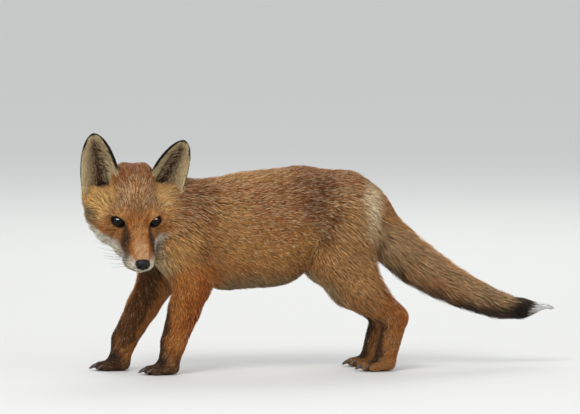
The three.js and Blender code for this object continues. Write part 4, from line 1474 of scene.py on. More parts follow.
@dataclass(frozen=True)
class Nose:
    """The nose leather with its two nostrils, in the head's frame."""

    body: Ball = Ball((55.2, 0, -15.0), (7.4, 7.4, 6.2))
    wing: Ball = Ball((55.4, 4.6, -16.2), (6.4, 4.3, 4.9), 3.0)
    lip: Ball = Ball((56.6, 0, -19.6), (4.6, 3.2, 3.4), 3.0)
    nostril: Ball = Ball((61.6, 4.5, -16.8), (3.6, 2.0, 1.7), 1.2)
    slit: Ball = Ball((59.2, 7.6, -18.0), (3.4, 2.6, 0.9), 1.0)
    cleft: Ball = Ball((63.2, 0, -19.4), (2.6, 0.7, 5.0), 1.0)
    cell: float = 0.45
    reach: Vec = (8.5, 10, 9)
    leather: Vec = (17, 14, 15)
    # how dark the painted shade deepest in the nostrils, the slits and the cleft is, as a share of the
    # leather's colour
    hollow_shade: float = 0.35

    def distance(self, q: Array) -> Array:
        """Distance to the leather."""
        d = self.body.distance(q)
        for swell in (self.wing, self.lip):
            d = blend(d, swell.distance(q), swell.k)
        for hollow in (self.nostril, self.slit, self.cleft):
            d = carve(d, hollow.distance(q), hollow.k)
        return d

    def dress(self) -> bpy.types.Object:
        """Writes the nose, with painted shade in its hollows."""
        axes = [np.arange(a - h - 2, a + h + 2.4, self.cell) for a, h in zip(NOSE_AT, self.reach)]
        surface = Mesher(axes, self.distance).mesh()
        settle(surface, self.distance)
        # painted shade: points that lie deep in the nostrils, the slits and the cleft are darkened
        open_air = smooth(-0.2, 1.0, self.distance(surface.points + surface.normals() * 1.2))
        shade = self.hollow_shade + (1 - self.hollow_shade) * open_air
        return write(Sheet(
            "nose_pad", HEAD.outward(surface.points), surface.faces, linear(self.leather) * shade[:, None],
            NOSE_FINISH, "nose_leather", stands_for=("nose",),
        ))


@dataclass(frozen=True)
class Claws:
    """A curved claw at the end of each of the sixteen toes."""

    length: float = 12.5
    radius: float = 2.3
    tip_radius: float = 0.12
    thinness: float = 0.72
    ahead: float = 1.5
    lift: float = 1.6
    start_slope: float = 4.0
    droop: float = 42.0
    floor_gap: float = 0.25
    rings: int = 9
    spokes: int = 12
    horn: Vec = (46, 38, 34)
    horn_tip: Vec = (96, 84, 72)

    def one(self, root: Array, tip: Array) -> tuple[Array, Array]:
        """Makes a claw.

        Args:
            root: Where the toe starts.
            tip: The middle of the toe's end.

        Returns:
            Points, and each point's share of the claw's length.
        """
        ahead = unit((tip - root) * [1, 1, 0])
        aside = np.cross([0, 0, 1.0], ahead)
        place = tip + ahead * self.ahead + [0, 0, self.lift]
        points, shares = [], []
        turn = np.linspace(0, 2 * math.pi, self.spokes, endpoint=False)
        for i in range(self.rings):
            t = i / (self.rings - 1)
            slope = math.radians(self.start_slope + self.droop * t)
            way = ahead * math.cos(slope) - np.array([0, 0, math.sin(slope)])
            up = ahead * math.sin(slope) + np.array([0, 0, math.cos(slope)])
            r = self.radius * (1 - t ** 1.6) + self.tip_radius
            ring = place + r * (self.thinness * np.cos(turn)[:, None] * aside + np.sin(turn)[:, None] * up)
            points.append(ring)
            shares.append(np.full(self.spokes, t))
            place = place + way * self.length / (self.rings - 1)
        points += [points[0].mean(axis=0)[None], points[-1].mean(axis=0)[None]]
        shares += [[0.0], [1.0]]
        whole = np.concatenate(points)
        whole[:, 2] = np.maximum(whole[:, 2], self.floor_gap)
        return whole, np.concatenate(shares)

    def faces(self) -> Array:
        """Gives the triangles of one claw."""
        first = np.arange(self.rings * self.spokes).reshape(self.rings, self.spokes)
        right = np.roll(first, -1, axis=1)
        quads = np.stack([first[:-1], right[:-1], right[1:], first[1:]], axis=2).reshape(-1, 4)
        start, end = self.rings * self.spokes, self.rings * self.spokes + 1
        return np.concatenate([
            quads[:, [0, 1, 2]], quads[:, [0, 2, 3]],
            np.stack([np.full(self.spokes, start), right[0], first[0]], axis=1),
            np.stack([np.full(self.spokes, end), first[-1], right[-1]], axis=1),
        ])

    def dress(self) -> bpy.types.Object:
        """Writes the claws."""
        points, faces, colours = [], [], []
        dark, pale = linear(self.horn), linear(self.horn_tip)
        for leg in (*FORELEGS, *HINDLEGS):
            for toe in paw(Region.FORELEGS, leg.ball, leg.side, FORE_PAD)[1:]:
                own, share = self.one(np.array(toe.a), np.array(toe.b))
                faces.append(self.faces() + sum(len(p) for p in points))
                points.append(own)
                colours.append(dark + (pale - dark) * share[:, None] ** 2)
        whole = (np.concatenate(rows) for rows in (points, faces, colours))
        return write(Sheet("claws", *whole, CLAW_FINISH, "dark_fur"))


@dataclass(frozen=True)
class Whiskers:
    """Fine dark whiskers that sweep back from the upper lip, in rows on each side."""

    rows: int = 3
    each: int = 4
    length: float = 34.0
    thickness: float = 0.22
    tip_share: float = 0.15
    tint: Vec = (0.012, 0.01, 0.009)
    sides: int = 5
    steps: int = 9

    def lines(self) -> list[Array]:
        """Gives the path of each whisker, in the body's frame."""
        draw = np.random.default_rng(SEED + 9)
        paths = []
        for side in BOTH:
            for row in range(self.rows):
                for place in range(self.each):
                    at = [46 - 5.5 * place, side * (10.5 + 1.4 * place), -19.0 - 2.6 * row]
                    way = np.array([0.25 - 0.2 * place, side * 1.0, 0.05 - 0.22 * row])
                    way = unit(way + draw.normal(0, 0.06, 3))
                    bend = unit([-0.9, side * 0.2, -0.35])
                    reach = self.length * draw.uniform(0.7, 1.0) * (0.75 + 0.1 * place)
                    t = np.linspace(0, 1, self.steps)[:, None]
                    paths.append(HEAD.outward(at + reach * (way * t + bend * 0.5 * t * t)))
        return paths

    def tree(self, material: bpy.types.Material) -> bpy.types.NodeTree:
        """Builds the nodes that make thin tapered rods along the paths."""
        tree = bpy.data.node_groups.new("whisker_rods", "GeometryNodeTree")
        add_sockets(tree, "INPUT", Paths="Geometry", Thickness="Float", Sides="Int")
        add_sockets(tree, "OUTPUT", Rods="Geometry")
        nodes = tree.nodes
        start, end = nodes.new("NodeGroupInput"), nodes.new("NodeGroupOutput")
        curve = nodes.new("GeometryNodeMeshToCurve")
        share = nodes.new("GeometryNodeSplineParameter")
        fall = nodes.new("ShaderNodeMapRange")
        fall.inputs["To Min"].default_value = 1.0
        fall.inputs["To Max"].default_value = self.tip_share
        size = nodes.new("GeometryNodeSetCurveRadius")
        profile = nodes.new("GeometryNodeCurvePrimitiveCircle")
        rod = nodes.new("GeometryNodeCurveToMesh")
        rod.inputs["Fill Caps"].default_value = True
        tint = nodes.new("GeometryNodeStoreNamedAttribute")
        tint.data_type = "FLOAT_COLOR"
        tint.inputs["Name"].default_value = "Coat"
        tint.inputs["Value"].default_value = (*self.tint, 1)
        real = nodes.new("GeometryNodeRealizeInstances")
        paint = nodes.new("GeometryNodeSetMaterial")
        paint.inputs["Material"].default_value = material
        wires = [
            (start, "Paths", curve, "Mesh"), (share, "Factor", fall, "Value"),
            (curve, "Curve", size, "Curve"), (fall, "Result", size, "Radius"),
            (start, "Thickness", profile, "Radius"),
            (start, "Sides", profile, "Resolution"), (size, "Curve", rod, "Curve"),
            (profile, "Curve", rod, "Profile Curve"), (rod, "Mesh", tint, "Geometry"),
            (tint, "Geometry", real, "Geometry"), (real, "Geometry", paint, "Geometry"),
            (paint, "Geometry", end, "Rods"),
        ]
        if "Scale" in rod.inputs:
            wires.append((fall, "Result", rod, "Scale"))
        connect(tree, wires)
        return tree

    def dress(self) -> bpy.types.Object:
        """Writes the whiskers."""
        paths = self.lines()
        mesh = bpy.data.meshes.new("whisker_paths")
        points = (np.concatenate(paths) + CENTRE) * MM
        starts = [i * self.steps + j for i in range(len(paths)) for j in range(self.steps - 1)]
        edges = [(i, i + 1) for i in starts]
        mesh.from_pydata(points.tolist(), edges, [])
        made = bpy.data.objects.new("whiskers", mesh)
        bpy.context.scene.collection.objects.link(made)
        rods = made.modifiers.new("rods", "NODES")
        rods.node_group = self.tree(WHISKER_FINISH.material())
        sockets = {item.name: item.identifier for item in rods.node_group.interface.items_tree}
        rods[sockets["Thickness"]] = self.thickness * MM
        rods[sockets["Sides"]] = self.sides
        solid = bpy.data.meshes.new_from_object(made.evaluated_get(bpy.context.evaluated_depsgraph_get()))
        made.modifiers.remove(rods)
        made.data = solid
        solid.name = "whiskers"
        bpy.data.meshes.remove(mesh)
        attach(made, BODY)
        LOG.info("whiskers: %d triangles", sum(len(p.vertices) - 2 for p in solid.polygons))
        return made


# ------------------------------------------------------------------ the coat

class Lattice:
    """The field at the outside of the coat, measured once on a grid and read between its nodes."""

    def __init__(self, measure: Callable[[Array], Array], low: Vec, high: Vec, cell: float) -> None:
        """Measures the field at every node."""
        self.low, self.cell = np.array(low), cell
        axes = [np.arange(a, b + cell, cell) for a, b in zip(low, high)]
        grid = np.stack(np.meshgrid(*axes, indexing="ij"), axis=-1)
        self.shape = grid.shape[:3]
        self.values = measure(grid.reshape(-1, 3)).reshape(self.shape)

    def read(self, p: Array) -> tuple[Array, Array]:
        """Gives the field and its slope at points."""
        at = (p - self.low) / self.cell
        base = np.clip(np.floor(at).astype(int), 0, np.array(self.shape) - 2)
        f = np.clip(at - base, 0, 1)
        i, j, k = base.T
        value = np.zeros(len(p))
        slope = np.zeros((len(p), 3))
        for a, b, c in CORNERS:
            here = self.values[i + a, j + b, k + c]
            w = [f[:, 0] if a else 1 - f[:, 0], f[:, 1] if b else 1 - f[:, 1], f[:, 2] if c else 1 - f[:, 2]]
            value += here * w[0] * w[1] * w[2]
            slope[:, 0] += here * (1 if a else -1) * w[1] * w[2]
            slope[:, 1] += here * (1 if b else -1) * w[0] * w[2]
            slope[:, 2] += here * (1 if c else -1) * w[0] * w[1]
        return value, slope / self.cell


@dataclass
class Roots:
    """Where tufts stand and what they are like; one row for each.

    stand is how far a tuft's tip stands off the coat, mm. thick is how closely the tufts are set.
    free is 0 for a tuft held down to the coat, and 1 for one that runs on past its end.
    """

    at: Array
    normal: Array
    length: Array
    width: Array
    flow: Array
    part: Array
    region: Array
    stand: Array
    thick: Array
    free: Array

    def pick(self, rows: Array) -> "Roots":
        """Keeps some rows."""
        return Roots(*(getattr(self, name)[rows] for name in self.__dataclass_fields__))


@dataclass
class Walk:
    """The rings of bent tufts: for each stop, the places, the ways across and the ways up."""

    places: list[Array]
    sides: list[Array]
    ups: list[Array]


@dataclass(frozen=True)
class CoatSize:
    """How the tufts are made and set.

    stops are the shares of a tuft's length at which its rings lie; the last is its point. wide is each
    ring's share of the full width, and blade is half a tuft's height for its width. Lengths are mm.
    """

    stops: tuple[float, float, float] = (0.0, 0.5, 1.0)
    wide: tuple[float, float] = (0.62, 1.0)
    blade: float = 0.26
    patch: float = 0.003
    cell: float = 2.6
    low: Vec = (-310, -135, -8)
    high: Vec = (305, 75, 262)
    sunk: float = 0.5
    longest_step: float = 4.0
    stray: float = 0.12
    proud: float = 0.1
    pale: Vec = (246, 220, 176)


class Plot(NamedTuple):
    """A part of the coat: how many tufts it has, and the slot it belongs to."""

    tufts: int
    slot: str


PLOTS = {
    Region.FACE: Plot(17600, "face_fur"),
    Region.CROWN: Plot(13500, "face_fur"),
    Region.EARS: Plot(11500, "ear_fur"),
    Region.NECK: Plot(11500, "coat"),
    Region.BACK_LEFT: Plot(18500, "coat"),
    Region.BACK_RIGHT: Plot(17500, "coat"),
    Region.FORELEGS: Plot(18500, "coat"),
    Region.HINDLEGS: Plot(19500, "coat"),
    Region.TAIL: Plot(14000, "brush_fur"),
}
REGIONS = list(Region)
FIRST_EAR = 8  # the ears' numbers among the parts of the body come after the groups'
TAIL_END = np.array([304.0, 20.0, 65.0])  # the point that the last hairs of the brush run to
BRUSH_END, BRUSH_FREE = (225, 262), (274, 280)  # where along x the end starts, and where tufts leave the skin
BRUSH_REACH, SHORTEST_TUFT = 290, 8
THIGH_LOW, THIGH_HIGH = (88, 110), (190, 160)  # heights between which the thighs' fringe grows
RUFF_AT, RUFF_HALF = (-42, 0, -18), (24, 1, 26)
NARROW_SHARE, WIDE_SHARE = 5.0, 12.0  # how far a mass's hair and flow reach into its neighbours', mm
FLANK_HEIGHTS, FLANK_FALL = [100, 130, 160, 190, 235], [-1.1, -0.65, -0.25, 0.02, 0.16]


def among(regions: Array, *wanted: Region) -> Array:
    """Tells which tufts belong to some parts of the coat."""
    return np.isin(regions, [REGIONS.index(region) for region in wanted])


class Coat:
    """The fur as solid tufts: closed blades that lie along the body and overlap."""

    def __init__(self, fox: Fox, skin: Skin, size: CoatSize = CoatSize()) -> None:
        """Measures the outside of the coat."""
        self.fox = fox
        self.skin = skin
        self.size = size
        self.draw = np.random.default_rng(SEED + 5)
        self.outside = Lattice(lambda p: fox.distance(p, 0.0, ears=False), size.low, size.high, size.cell)

    def character(self, p: Array, normal: Array) -> Roots:
        """Works out the coat at points of the skin from the masses near them."""
        q = HEAD.inward(p)
        masses = self.fox.masses
        d = np.stack([mass.distance(p, q, 0.0) for mass in masses], axis=1)
        behind = d - d.min(axis=1, keepdims=True)
        weight, wide = np.exp(-behind / NARROW_SHARE), np.exp(-behind / WIDE_SHARE)
        weight /= weight.sum(axis=1, keepdims=True)
        wide /= wide.sum(axis=1, keepdims=True)
        table = np.array([[m.hair.length, m.hair.width] for m in masses])
        length, width = (weight @ table).T
        flow = np.zeros_like(p)
        for i, mass in enumerate(masses):
            flow += mass.flow(q) * (weight if mass in HEAD_MASSES else wide)[:, i:i + 1]
        best = np.argmax(weight, axis=1)
        region = np.array([REGIONS.index(m.region) for m in masses])[best]
        owner = np.concatenate([[g] * len(group.masses) for g, group in enumerate(self.fox.groups)])
        part = owner[best]
        trunk = wide[:, :len(TRUNK.masses)].sum(axis=1)
        fall = np.interp(p[:, 2], FLANK_HEIGHTS, FLANK_FALL)
        flow[:, 2] += trunk * (fall - BODY_HAIR.flow[2])
        other_side = among(region, Region.BACK_LEFT) & (p[:, 1] > 0)
        region = np.where(other_side, REGIONS.index(Region.BACK_RIGHT), region)
        none = np.zeros(len(p))
        roots = Roots(p, normal, length, width, unit(flow), part, region, none, none + 1.0, none)
        self._near_face(roots, q)
        self._on_brush(roots)
        self._on_ears(roots)
        return roots

    def _on_brush(self, roots: Roots) -> None:
        """Lets the fringes stand off under the tail, behind the thighs and on the cheeks.

        The hair of the brush runs on to a point past the tail's own end.
        """
        p, down = roots.at, smooth(0.1, 0.9, -roots.normal[:, 2])
        tail = among(roots.region, Region.TAIL)
        end = smooth(*BRUSH_END, p[:, 0]) * tail
        roots.stand = np.where(tail, 3.0 * down * (1 - end), roots.stand)
        roots.length = np.where(tail, roots.length * (1 + 0.25 * down) * (1 - 0.1 * end), roots.length)
        roots.flow = unit(roots.flow + (tail * down * (1 - end) * 0.25)[:, None] * [0.2, 0, -1])
        roots.free = smooth(*BRUSH_FREE, p[:, 0]) * tail
        aim = unit(TAIL_END - p)
        roots.flow = unit(roots.flow + (aim - roots.flow) * roots.free[:, None])
        left = np.maximum(BRUSH_REACH - p[:, 0], SHORTEST_TUFT)
        roots.length = np.where(roots.free > 0, np.minimum(roots.length, left), roots.length)
        roots.thick = roots.thick * (1 + 3.5 * end)
        roots.width = roots.width * (1 - 0.45 * roots.free)
        behind = among(roots.region, Region.HINDLEGS) * smooth(0.35, 0.8, roots.normal[:, 0])
        behind = behind * smooth(*THIGH_LOW, p[:, 2]) * smooth(*THIGH_HIGH, p[:, 2])
        roots.stand = roots.stand + 4.5 * behind
        roots.length = roots.length * (1 + 0.5 * behind)
        ruff = np.linalg.norm((HEAD.inward(p) * [1, 0, 1] - RUFF_AT) / RUFF_HALF, axis=1) < 1
        roots.stand = roots.stand + 1.6 * ruff * among(roots.region, Region.CROWN)

    def _near_face(self, roots: Roots, q: Array) -> None:
        """Shortens the hair beside the eyes, the nose and the lips."""
        opening, front = eye_terms(q)
        by_eye = np.where(front > -4, 1 - smooth(0.5, 9.0, opening), 0)
        roots.length *= 1 - 0.62 * by_eye
        roots.width *= 1 - 0.25 * by_eye

    def _on_ears(self, roots: Roots) -> None:
        """Gives the ears short hair that runs to their tips and rims."""
        for number, ear in enumerate(EARS):
            near = np.nonzero(ear.room().holds(roots.at))[0]
            if not len(near):
                continue
            p = roots.at[near]
            on = ear.distance(p, 1.0) < 1.2
            v, angle, lift, spread, _ = ear.local(p)
            length = ear.frame()[4]
            on &= v * length > ear.root * 0.9
            rows = near[on]
            _, axis, _, across, _ = ear.frame()
            turn = (angle / np.maximum(spread, 1e-3))[on]
            inside = lift[on] < 0
            medial = turn * ear.side
            v_on = v[on]
            fringe = inside * smooth(0.15, 0.4, medial) * smooth(0.86, 0.7, v_on)
            edge = inside * smooth(-0.55, -0.8, medial)
            aside = np.where(inside, -1.3 * fringe + 0.5 * edge, 0.35 * medial) * ear.side
            rise = np.where(inside, 1 - 0.45 * fringe, 1.0)
            roots.flow[rows] = unit(axis * rise[:, None] + across * aside[:, None])
            roots.length[rows] = np.where(inside, 5.0 + 11.0 * fringe + 2.0 * edge, 4.5)
            roots.width[rows] = np.where(inside, 0.5 + 0.3 * fringe, 0.6)
            roots.stand[rows] = 3.0 * fringe * smooth(0.95, 0.6, medial)
            roots.thick[rows] = 1 + 0.6 * fringe
            roots.region[rows] = REGIONS.index(Region.EARS)
            roots.part[rows] = FIRST_EAR + number

    def _scatter(self) -> Roots:
        """Scatters the roots over the skin, more of them where the tufts are small."""
        s = self.skin.surface
        normals = s.normals()
        middle = s.points[s.faces].mean(axis=1)
        face_normal = unit(normals[s.faces].mean(axis=1))
        there = self.character(middle, face_normal)
        want = s.areas() * there.thick / (there.length * there.width)
        want[self._bare(there)] = 0
        for number, region in enumerate(REGIONS):
            own = there.region == number
            want[own] *= PLOTS[region].tufts / max(want[own].sum(), 1e-9)
        edge = np.concatenate([[0], np.cumsum(want)])
        count = int(edge[-1])
        picks = (np.arange(count) + self.draw.uniform(0, 1, count)) * edge[-1] / count
        face = np.clip(np.searchsorted(edge, picks, side="right") - 1, 0, len(s.faces) - 1)
        u, v = self.draw.uniform(0, 1, (2, count))
        over = u + v > 1
        u, v = np.where(over, 1 - u, u), np.where(over, 1 - v, v)
        a, b, c = (s.points[s.faces[face, i]] for i in range(3))
        at = a + (b - a) * u[:, None] + (c - a) * v[:, None]
        na, nb, nc = (normals[s.faces[face, i]] for i in range(3))
        normal = unit(na + (nb - na) * u[:, None] + (nc - na) * v[:, None])
        return self.character(at, normal)

    def _bare(self, roots: Roots) -> Array:
        """Tells where no hair grows: eyes, nose, lips and soles."""
        q = HEAD.inward(roots.at)
        opening, front = eye_terms(q)
        bare = (opening < 1.3) & (front > 0)
        bare |= np.linalg.norm((q - NOSE_AT) / (NOSE_HALF - 0.5), axis=1) < 1
        bare |= (np.abs(mouth_line(q)) < 0.8) & (q[:, 0] > 6) & HEAD_GROUP.room.holds(roots.at)
        bare |= (roots.at[:, 2] < 1.2) | ((roots.at[:, 2] < 5) & (roots.normal[:, 2] < -0.55))
        return bare

    def build(self) -> None:
        """Scatters the tufts and bends them along the body."""
        roots = self._scatter()
        roots = roots.pick(~self._bare(roots))
        n = len(roots.at)
        self.roots = roots
        stray = unit(self.draw.normal(size=(n, 3))) * self.size.stray
        locks = ripple(roots.at, 40, SEED + 6) * 0.09
        combed = roots.flow + locks + ripple(roots.at, 11, SEED + 7) * 0.11 + stray
        length = roots.length * self.draw.uniform(0.72, 1.22, n)
        depth, _ = self.outside.read(roots.at)
        on_ear = among(roots.region, Region.EARS)
        depth = np.where(on_ear, -0.8, np.minimum(depth, -0.4))
        reach = self.draw.uniform(0.0, 0.42, n)
        proud = self.draw.uniform(0, 1, n) < self.size.proud
        goal = depth * np.where(proud, -0.08, reach) + roots.stand * self.draw.uniform(0.3, 1.0, n)
        self.walk = self._walk(combed, length, depth, goal)

    def _field(self, p: Array) -> tuple[Array, Array]:
        """The coat's outside and its slope, at one point for each root."""
        value, slope = self.outside.read(p)
        for number, ear in enumerate(EARS):
            own = np.nonzero(self.roots.part == FIRST_EAR + number)[0]
            if len(own):
                value[own] = ear.distance(p[own], 0.0) - 0.4
                slope[own] = gradient(lambda here: ear.distance(here, 0.0), p[own])
        return value, slope

    def _walk(self, way: Array, length: Array, depth: Array, goal: Array) -> Walk:
        """Bends the tufts along the body.

        Args:
            way: The way that each tuft lies.
            length: The length of each.
            depth: The outer field's value at each root.
            goal: The outer field's value at each tip.

        Returns:
            The rings.
        """
        normal = self.roots.normal
        p, up = self.roots.at - normal * self.size.sunk, normal
        walk = Walk([], [], [])
        hold = (1 - self.roots.free)[:, None]
        gone = 0.0
        for i, t in enumerate(self.size.stops):
            if i:
                flat = unit(way - up * (way * up).sum(axis=1, keepdims=True) * hold)
                p = p + flat * (length * (t - gone))[:, None]
                target = depth + (goal - depth) * (1 - (1 - t) ** 2)
                for _ in range(2):
                    value, slope = self._field(p)
                    size = np.maximum((slope * slope).sum(axis=1), 0.2)
                    step = slope * ((target - value) / size)[:, None]
                    far = np.linalg.norm(step, axis=1, keepdims=True)
                    p = p + step * np.minimum(1, self.size.longest_step / np.maximum(far, 1e-9)) * hold
                up = unit(slope * hold + normal * (1 - hold))
            gone = t
            flat = unit(way - up * (way * up).sum(axis=1, keepdims=True) * hold)
            side = unit(np.cross(flat, up + (1 - hold) * [0.0, 0.3, 0.5]))
            walk.places.append(p)
            walk.sides.append(side)
            walk.ups.append(np.cross(side, flat))
        return walk

    def colours(self, rows: Array, middle: Array) -> list[Array]:
        """Gives the rings their colours: dark at the root, partly as painted shade deep in the coat, paler at
        the tip, and ticked here and there.

        Args:
            rows: The tufts' roots.
            middle: The places of their middle rings.

        Returns:
            One row of colours for each ring.
        """
        base = markings(middle)
        n = len(rows)
        p = self.roots.at[rows]
        q = HEAD.inward(p)
        on_head = among(self.roots.region[rows], Region.FACE, Region.CROWN)
        # painted light and shade of clumped hair: a slow ripple darkens the gaps between clumps and lightens
        # the clumps
        clump_shade = ripple(p, 7, SEED + 8)[:, 0] * (0.10 + 0.10 * on_head)
        shade = np.exp(self.draw.normal(0, 0.15, n) + clump_shade)[:, None]
        back = smooth(130, 200, p[:, 2]) * (p[:, 0] < 70) * ~on_head
        brow = np.where(on_head, bump(q[:, 0], -18, 24) * smooth(-4, 8, q[:, 2]), 0)
        chance = (0.06 + 0.3 * back + 0.46 * brow) * smooth(0.008, 0.06, base.mean(axis=1))
        ticked = (self.draw.uniform(0, 1, n) < chance)[:, None]
        dark = (self.draw.uniform(0, 1, n) < 0.12 + 0.10 * back + 0.5 * brow)[:, None]
        pale = linear(self.size.pale)
        out = []
        for t in self.size.stops:
            # dark at the root: partly the coat's own darker underfur, partly painted shade deep in the coat
            tint = base * shade * (0.7 + 0.62 * min(1.0, t * 1.5))
            tip = smooth(0.3, 0.8, np.array([t]))[0]
            tint = np.where(ticked, tint + (pale - tint) * (0.58 + 0.17 * brow[:, None]) * tip, tint)
            tint = np.where(dark & ~ticked, tint * (1 - (0.6 + 0.2 * brow[:, None]) * tip), tint)
            out.append(tint)
        return out

    def dress(self) -> None:
        """Writes the coat, one piece for each part of the body."""
        self.build()
        for region in REGIONS:
            *blades, bake = self._blades(region)
            write(Sheet(f"fur_{region.value}", *blades, FUR_FINISH, PLOTS[region].slot, bake=bake))

    def _blades(self, region: Region) -> tuple[Array, Array, Array, Array]:
        """Turns the rings of one part of the coat into closed blades: three-sided, and pointed at the tip.

        Args:
            region: The part of the coat.

        Returns:
            Points, faces, colours, and each face corner's place in the chart.
        """
        rows = np.nonzero(among(self.roots.region, region))[0]
        n, last = len(rows), len(self.size.stops) - 1
        width = self.roots.width[rows] * self.draw.uniform(0.75, 1.25, n)
        chart = unwrap(self.roots.at[rows], self.roots.normal[rows], self.roots.part[rows])
        tints = self.colours(rows, self.walk.places[1][rows])
        points, colours, place = [], [], []
        h = (width * self.size.blade)[:, None]
        for i, (t, wide) in enumerate(zip(self.size.stops, self.size.wide)):
            p, side, up = (ring[i][rows] for ring in (self.walk.places, self.walk.sides, self.walk.ups))
            w = (width * wide / 2)[:, None]
            points.append(np.stack([p + side * w, p + up * h, p - side * w], axis=1))
            colours.append(np.repeat(tints[i][:, None], 3, axis=1))
            place.append(np.tile([[0.5, t - 0.5], [0.0, t - 0.5], [-0.5, t - 0.5]], (n, 1, 1)))
        points.append(self.walk.places[last][rows][:, None])
        colours.append(tints[last][:, None])
        place.append(np.tile([0.0, 0.5], (n, 1, 1)))
        each = 3 * last + 1
        corner = np.concatenate(points, axis=1).reshape(-1, 3)
        tint = np.concatenate(colours, axis=1).reshape(-1, 3)
        spot = (np.concatenate(place, axis=1) * self.size.patch + chart[:, None]).reshape(-1, 2)
        pattern = [(0, 1, 2)]
        for i in range(last - 1):
            for a, b in ((0, 1), (1, 2), (2, 0)):
                s, e = 3 * i, 3 * i + 3
                pattern += [(s + a, e + a, e + b), (s + a, e + b, s + b)]
        s = 3 * (last - 1)
        pattern += [(s + a, s + 3, s + b) for a, b in ((0, 1), (1, 2), (2, 0))]
        faces = (np.array(pattern)[None] + (np.arange(n) * each)[:, None, None]).reshape(-1, 3)
        return corner, faces, tint, spot[faces]


def unwrap(at: Array, normal: Array, part: Array) -> Array:
    """Lays points of the skin out flat: one chart for each part of the body and each of six ways it faces.

    Args:
        at: Points of the skin.
        normal: The skin's normals there.
        part: The part of the body that each is on.

    Returns:
        A place in the unit square for each point.
    """
    axis = np.abs(normal).argmax(axis=1)
    every = np.arange(len(at))
    key = part * 6 + axis * 2 + (normal[every, axis] > 0)
    flat = np.stack([at[every, (axis + 1) % 3], at[every, (axis + 2) % 3]], axis=1)
    charts = []
    for k in np.unique(key):
        rows = np.nonzero(key == k)[0]
        low, high = flat[rows].min(axis=0), flat[rows].max(axis=0)
        charts.append((rows, low, high - low))
    charts.sort(key=lambda c: -c[2][1])
    gap, shrink = 0.008, 0.96
    scale = 1.0 / max(max(c[2]) for c in charts) * 0.98
    while True:
        x = y = gap
        tall = 0.0
        spots = []
        for _, _, span in charts:
            w, h = span * scale
            if x + w + gap > 1:
                x, y, tall = gap, y + tall + gap, 0.0
            spots.append((x, y))
            x += w + gap
            tall = max(tall, h)
        widest = max(c[2][0] for c in charts) * scale + 2 * gap
        if y + tall + gap <= 1 and widest <= 1:
            break
        scale *= shrink
    out = np.zeros((len(at), 2))
    for (rows, low, _), spot in zip(charts, spots):
        out[rows] = (flat[rows] - low) * scale + spot
    return out


# ------------------------------------------------------------------ the studio

class Lamp(NamedTuple):
    """A soft square light: its place and width in metres, its power in watts and its colour."""

    name: str
    at: Vec
    size: float
    power: float
    colour: Vec = (1, 1, 1)


LAMPS = (
    Lamp("key", (-1.2, -1.9, 2.4), 1.2, 44, (1.0, 0.98, 0.95)),
    Lamp("fill", (1.9, -2.2, 1.3), 2.2, 16),
    Lamp("back", (0.6, 2.2, 2.2), 1.6, 24),
)
GLINTS = (
    Lamp("glint_left", (-1.98, -2.0, 0.87), 2.4, 300),
    Lamp("glint_right", (1.65, -1.87, 0.87), 2.4, 300),
)


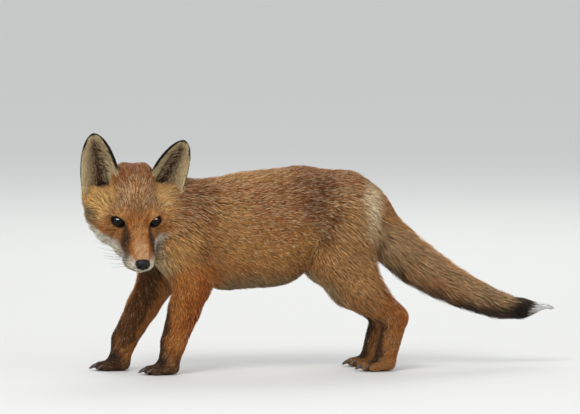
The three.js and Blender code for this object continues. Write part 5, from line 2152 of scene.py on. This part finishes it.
@dataclass(frozen=True)
class Studio:
    """Floor, lights and camera. Lengths are metres, but for the camera's target, distance and lens in mm."""

    target: Vec = (-31.3, 20.5, 196.4)
    forward: Vec = (0.1732, 0.9824, -0.0698)
    distance: float = 7740.0
    lens_mm: float = 400.0
    sensor_mm: float = 36.0
    floor_half: float = 40.0
    floor_colour: Vec = (0.66, 0.66, 0.64)
    aim_height: float = 0.15
    glint_height: float = 0.6
    sky: Vec = (0.86, 0.88, 0.9)
    sky_strength: float = 0.95

    def floor(self) -> None:
        """Lays a plain pale floor."""
        mesh = bpy.data.meshes.new("studio_floor")
        half = self.floor_half
        corners = [(-half, -half, 0), (half, -half, 0), (half, half, 0), (-half, half, 0)]
        mesh.from_pydata(corners, [], [(0, 1, 2, 3)])
        made = bpy.data.objects.new("studio_floor", mesh)
        bpy.context.scene.collection.objects.link(made)
        paint = bpy.data.materials.new("studio_floor")
        paint.use_nodes = True
        shader = paint.node_tree.nodes["Principled BSDF"]
        shader.inputs["Base Color"].default_value = (*self.floor_colour, 1)
        shader.inputs["Roughness"].default_value = 0.85
        mesh.materials.append(paint)

    def light(self, lamp: Lamp) -> bpy.types.Object:
        """Hangs a lamp that faces the fox."""
        data = bpy.data.lights.new(lamp.name, "AREA")
        data.size = lamp.size
        data.energy = lamp.power
        data.color = lamp.colour
        made = bpy.data.objects.new(lamp.name, data)
        made.location = lamp.at
        made.rotation_euler = facing(np.array([0, 0, self.aim_height]) - np.array(lamp.at))
        bpy.context.scene.collection.objects.link(made)
        return made

    def glint(self, wet: Sequence[bpy.types.Object]) -> None:
        """Hangs low, broad lights that show only as glints on the wet pieces."""
        only = bpy.data.collections.new("wet_pieces")
        for piece in wet:
            only.objects.link(piece)
        for lamp in GLINTS:
            made = self.light(lamp)
            made.data.shape = "RECTANGLE"
            made.data.size_y = self.glint_height
            made.visible_camera = False
            made.visible_diffuse = False
            made.light_linking.receiver_collection = only

    def camera(self) -> None:
        """Sets up the camera."""
        data = bpy.data.cameras.new("camera")
        data.lens = self.lens_mm
        data.sensor_width = self.sensor_mm
        data.clip_end = 60
        made = bpy.data.objects.new("camera", data)
        forward = unit(self.forward)
        made.location = (np.array(self.target) - forward * self.distance) * MM
        made.rotation_euler = facing(forward)
        bpy.context.scene.collection.objects.link(made)
        bpy.context.scene.camera = made

    def dress(self) -> None:
        """Builds the whole studio."""
        self.floor()
        for lamp in LAMPS:
            self.light(lamp)
        world = bpy.data.worlds.new("studio")
        world.use_nodes = True
        sky = world.node_tree.nodes["Background"]
        sky.inputs["Color"].default_value = (*self.sky, 1)
        sky.inputs["Strength"].default_value = self.sky_strength
        bpy.context.scene.world = world
        bpy.context.scene.view_settings.view_transform = "Standard"
        self.camera()


def facing(way: Array) -> Euler:
    """Gives the turn that makes a lamp or a camera face a way."""
    return Vector([float(x) for x in way]).to_track_quat("-Z", "Y").to_euler()


def main() -> None:
    """Builds the fox and its studio."""
    logging.basicConfig(level=logging.INFO, format="%(name)s: %(message)s")
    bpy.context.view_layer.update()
    studio = Studio()
    studio.dress()
    fox = Fox()
    skin = Skin(fox)
    skin.dress()
    studio.glint(Eyes().dress())
    Nose().dress()
    Claws().dress()
    Whiskers().dress()
    Coat(fox, skin).dress()


if __name__ == "__main__":
    main()
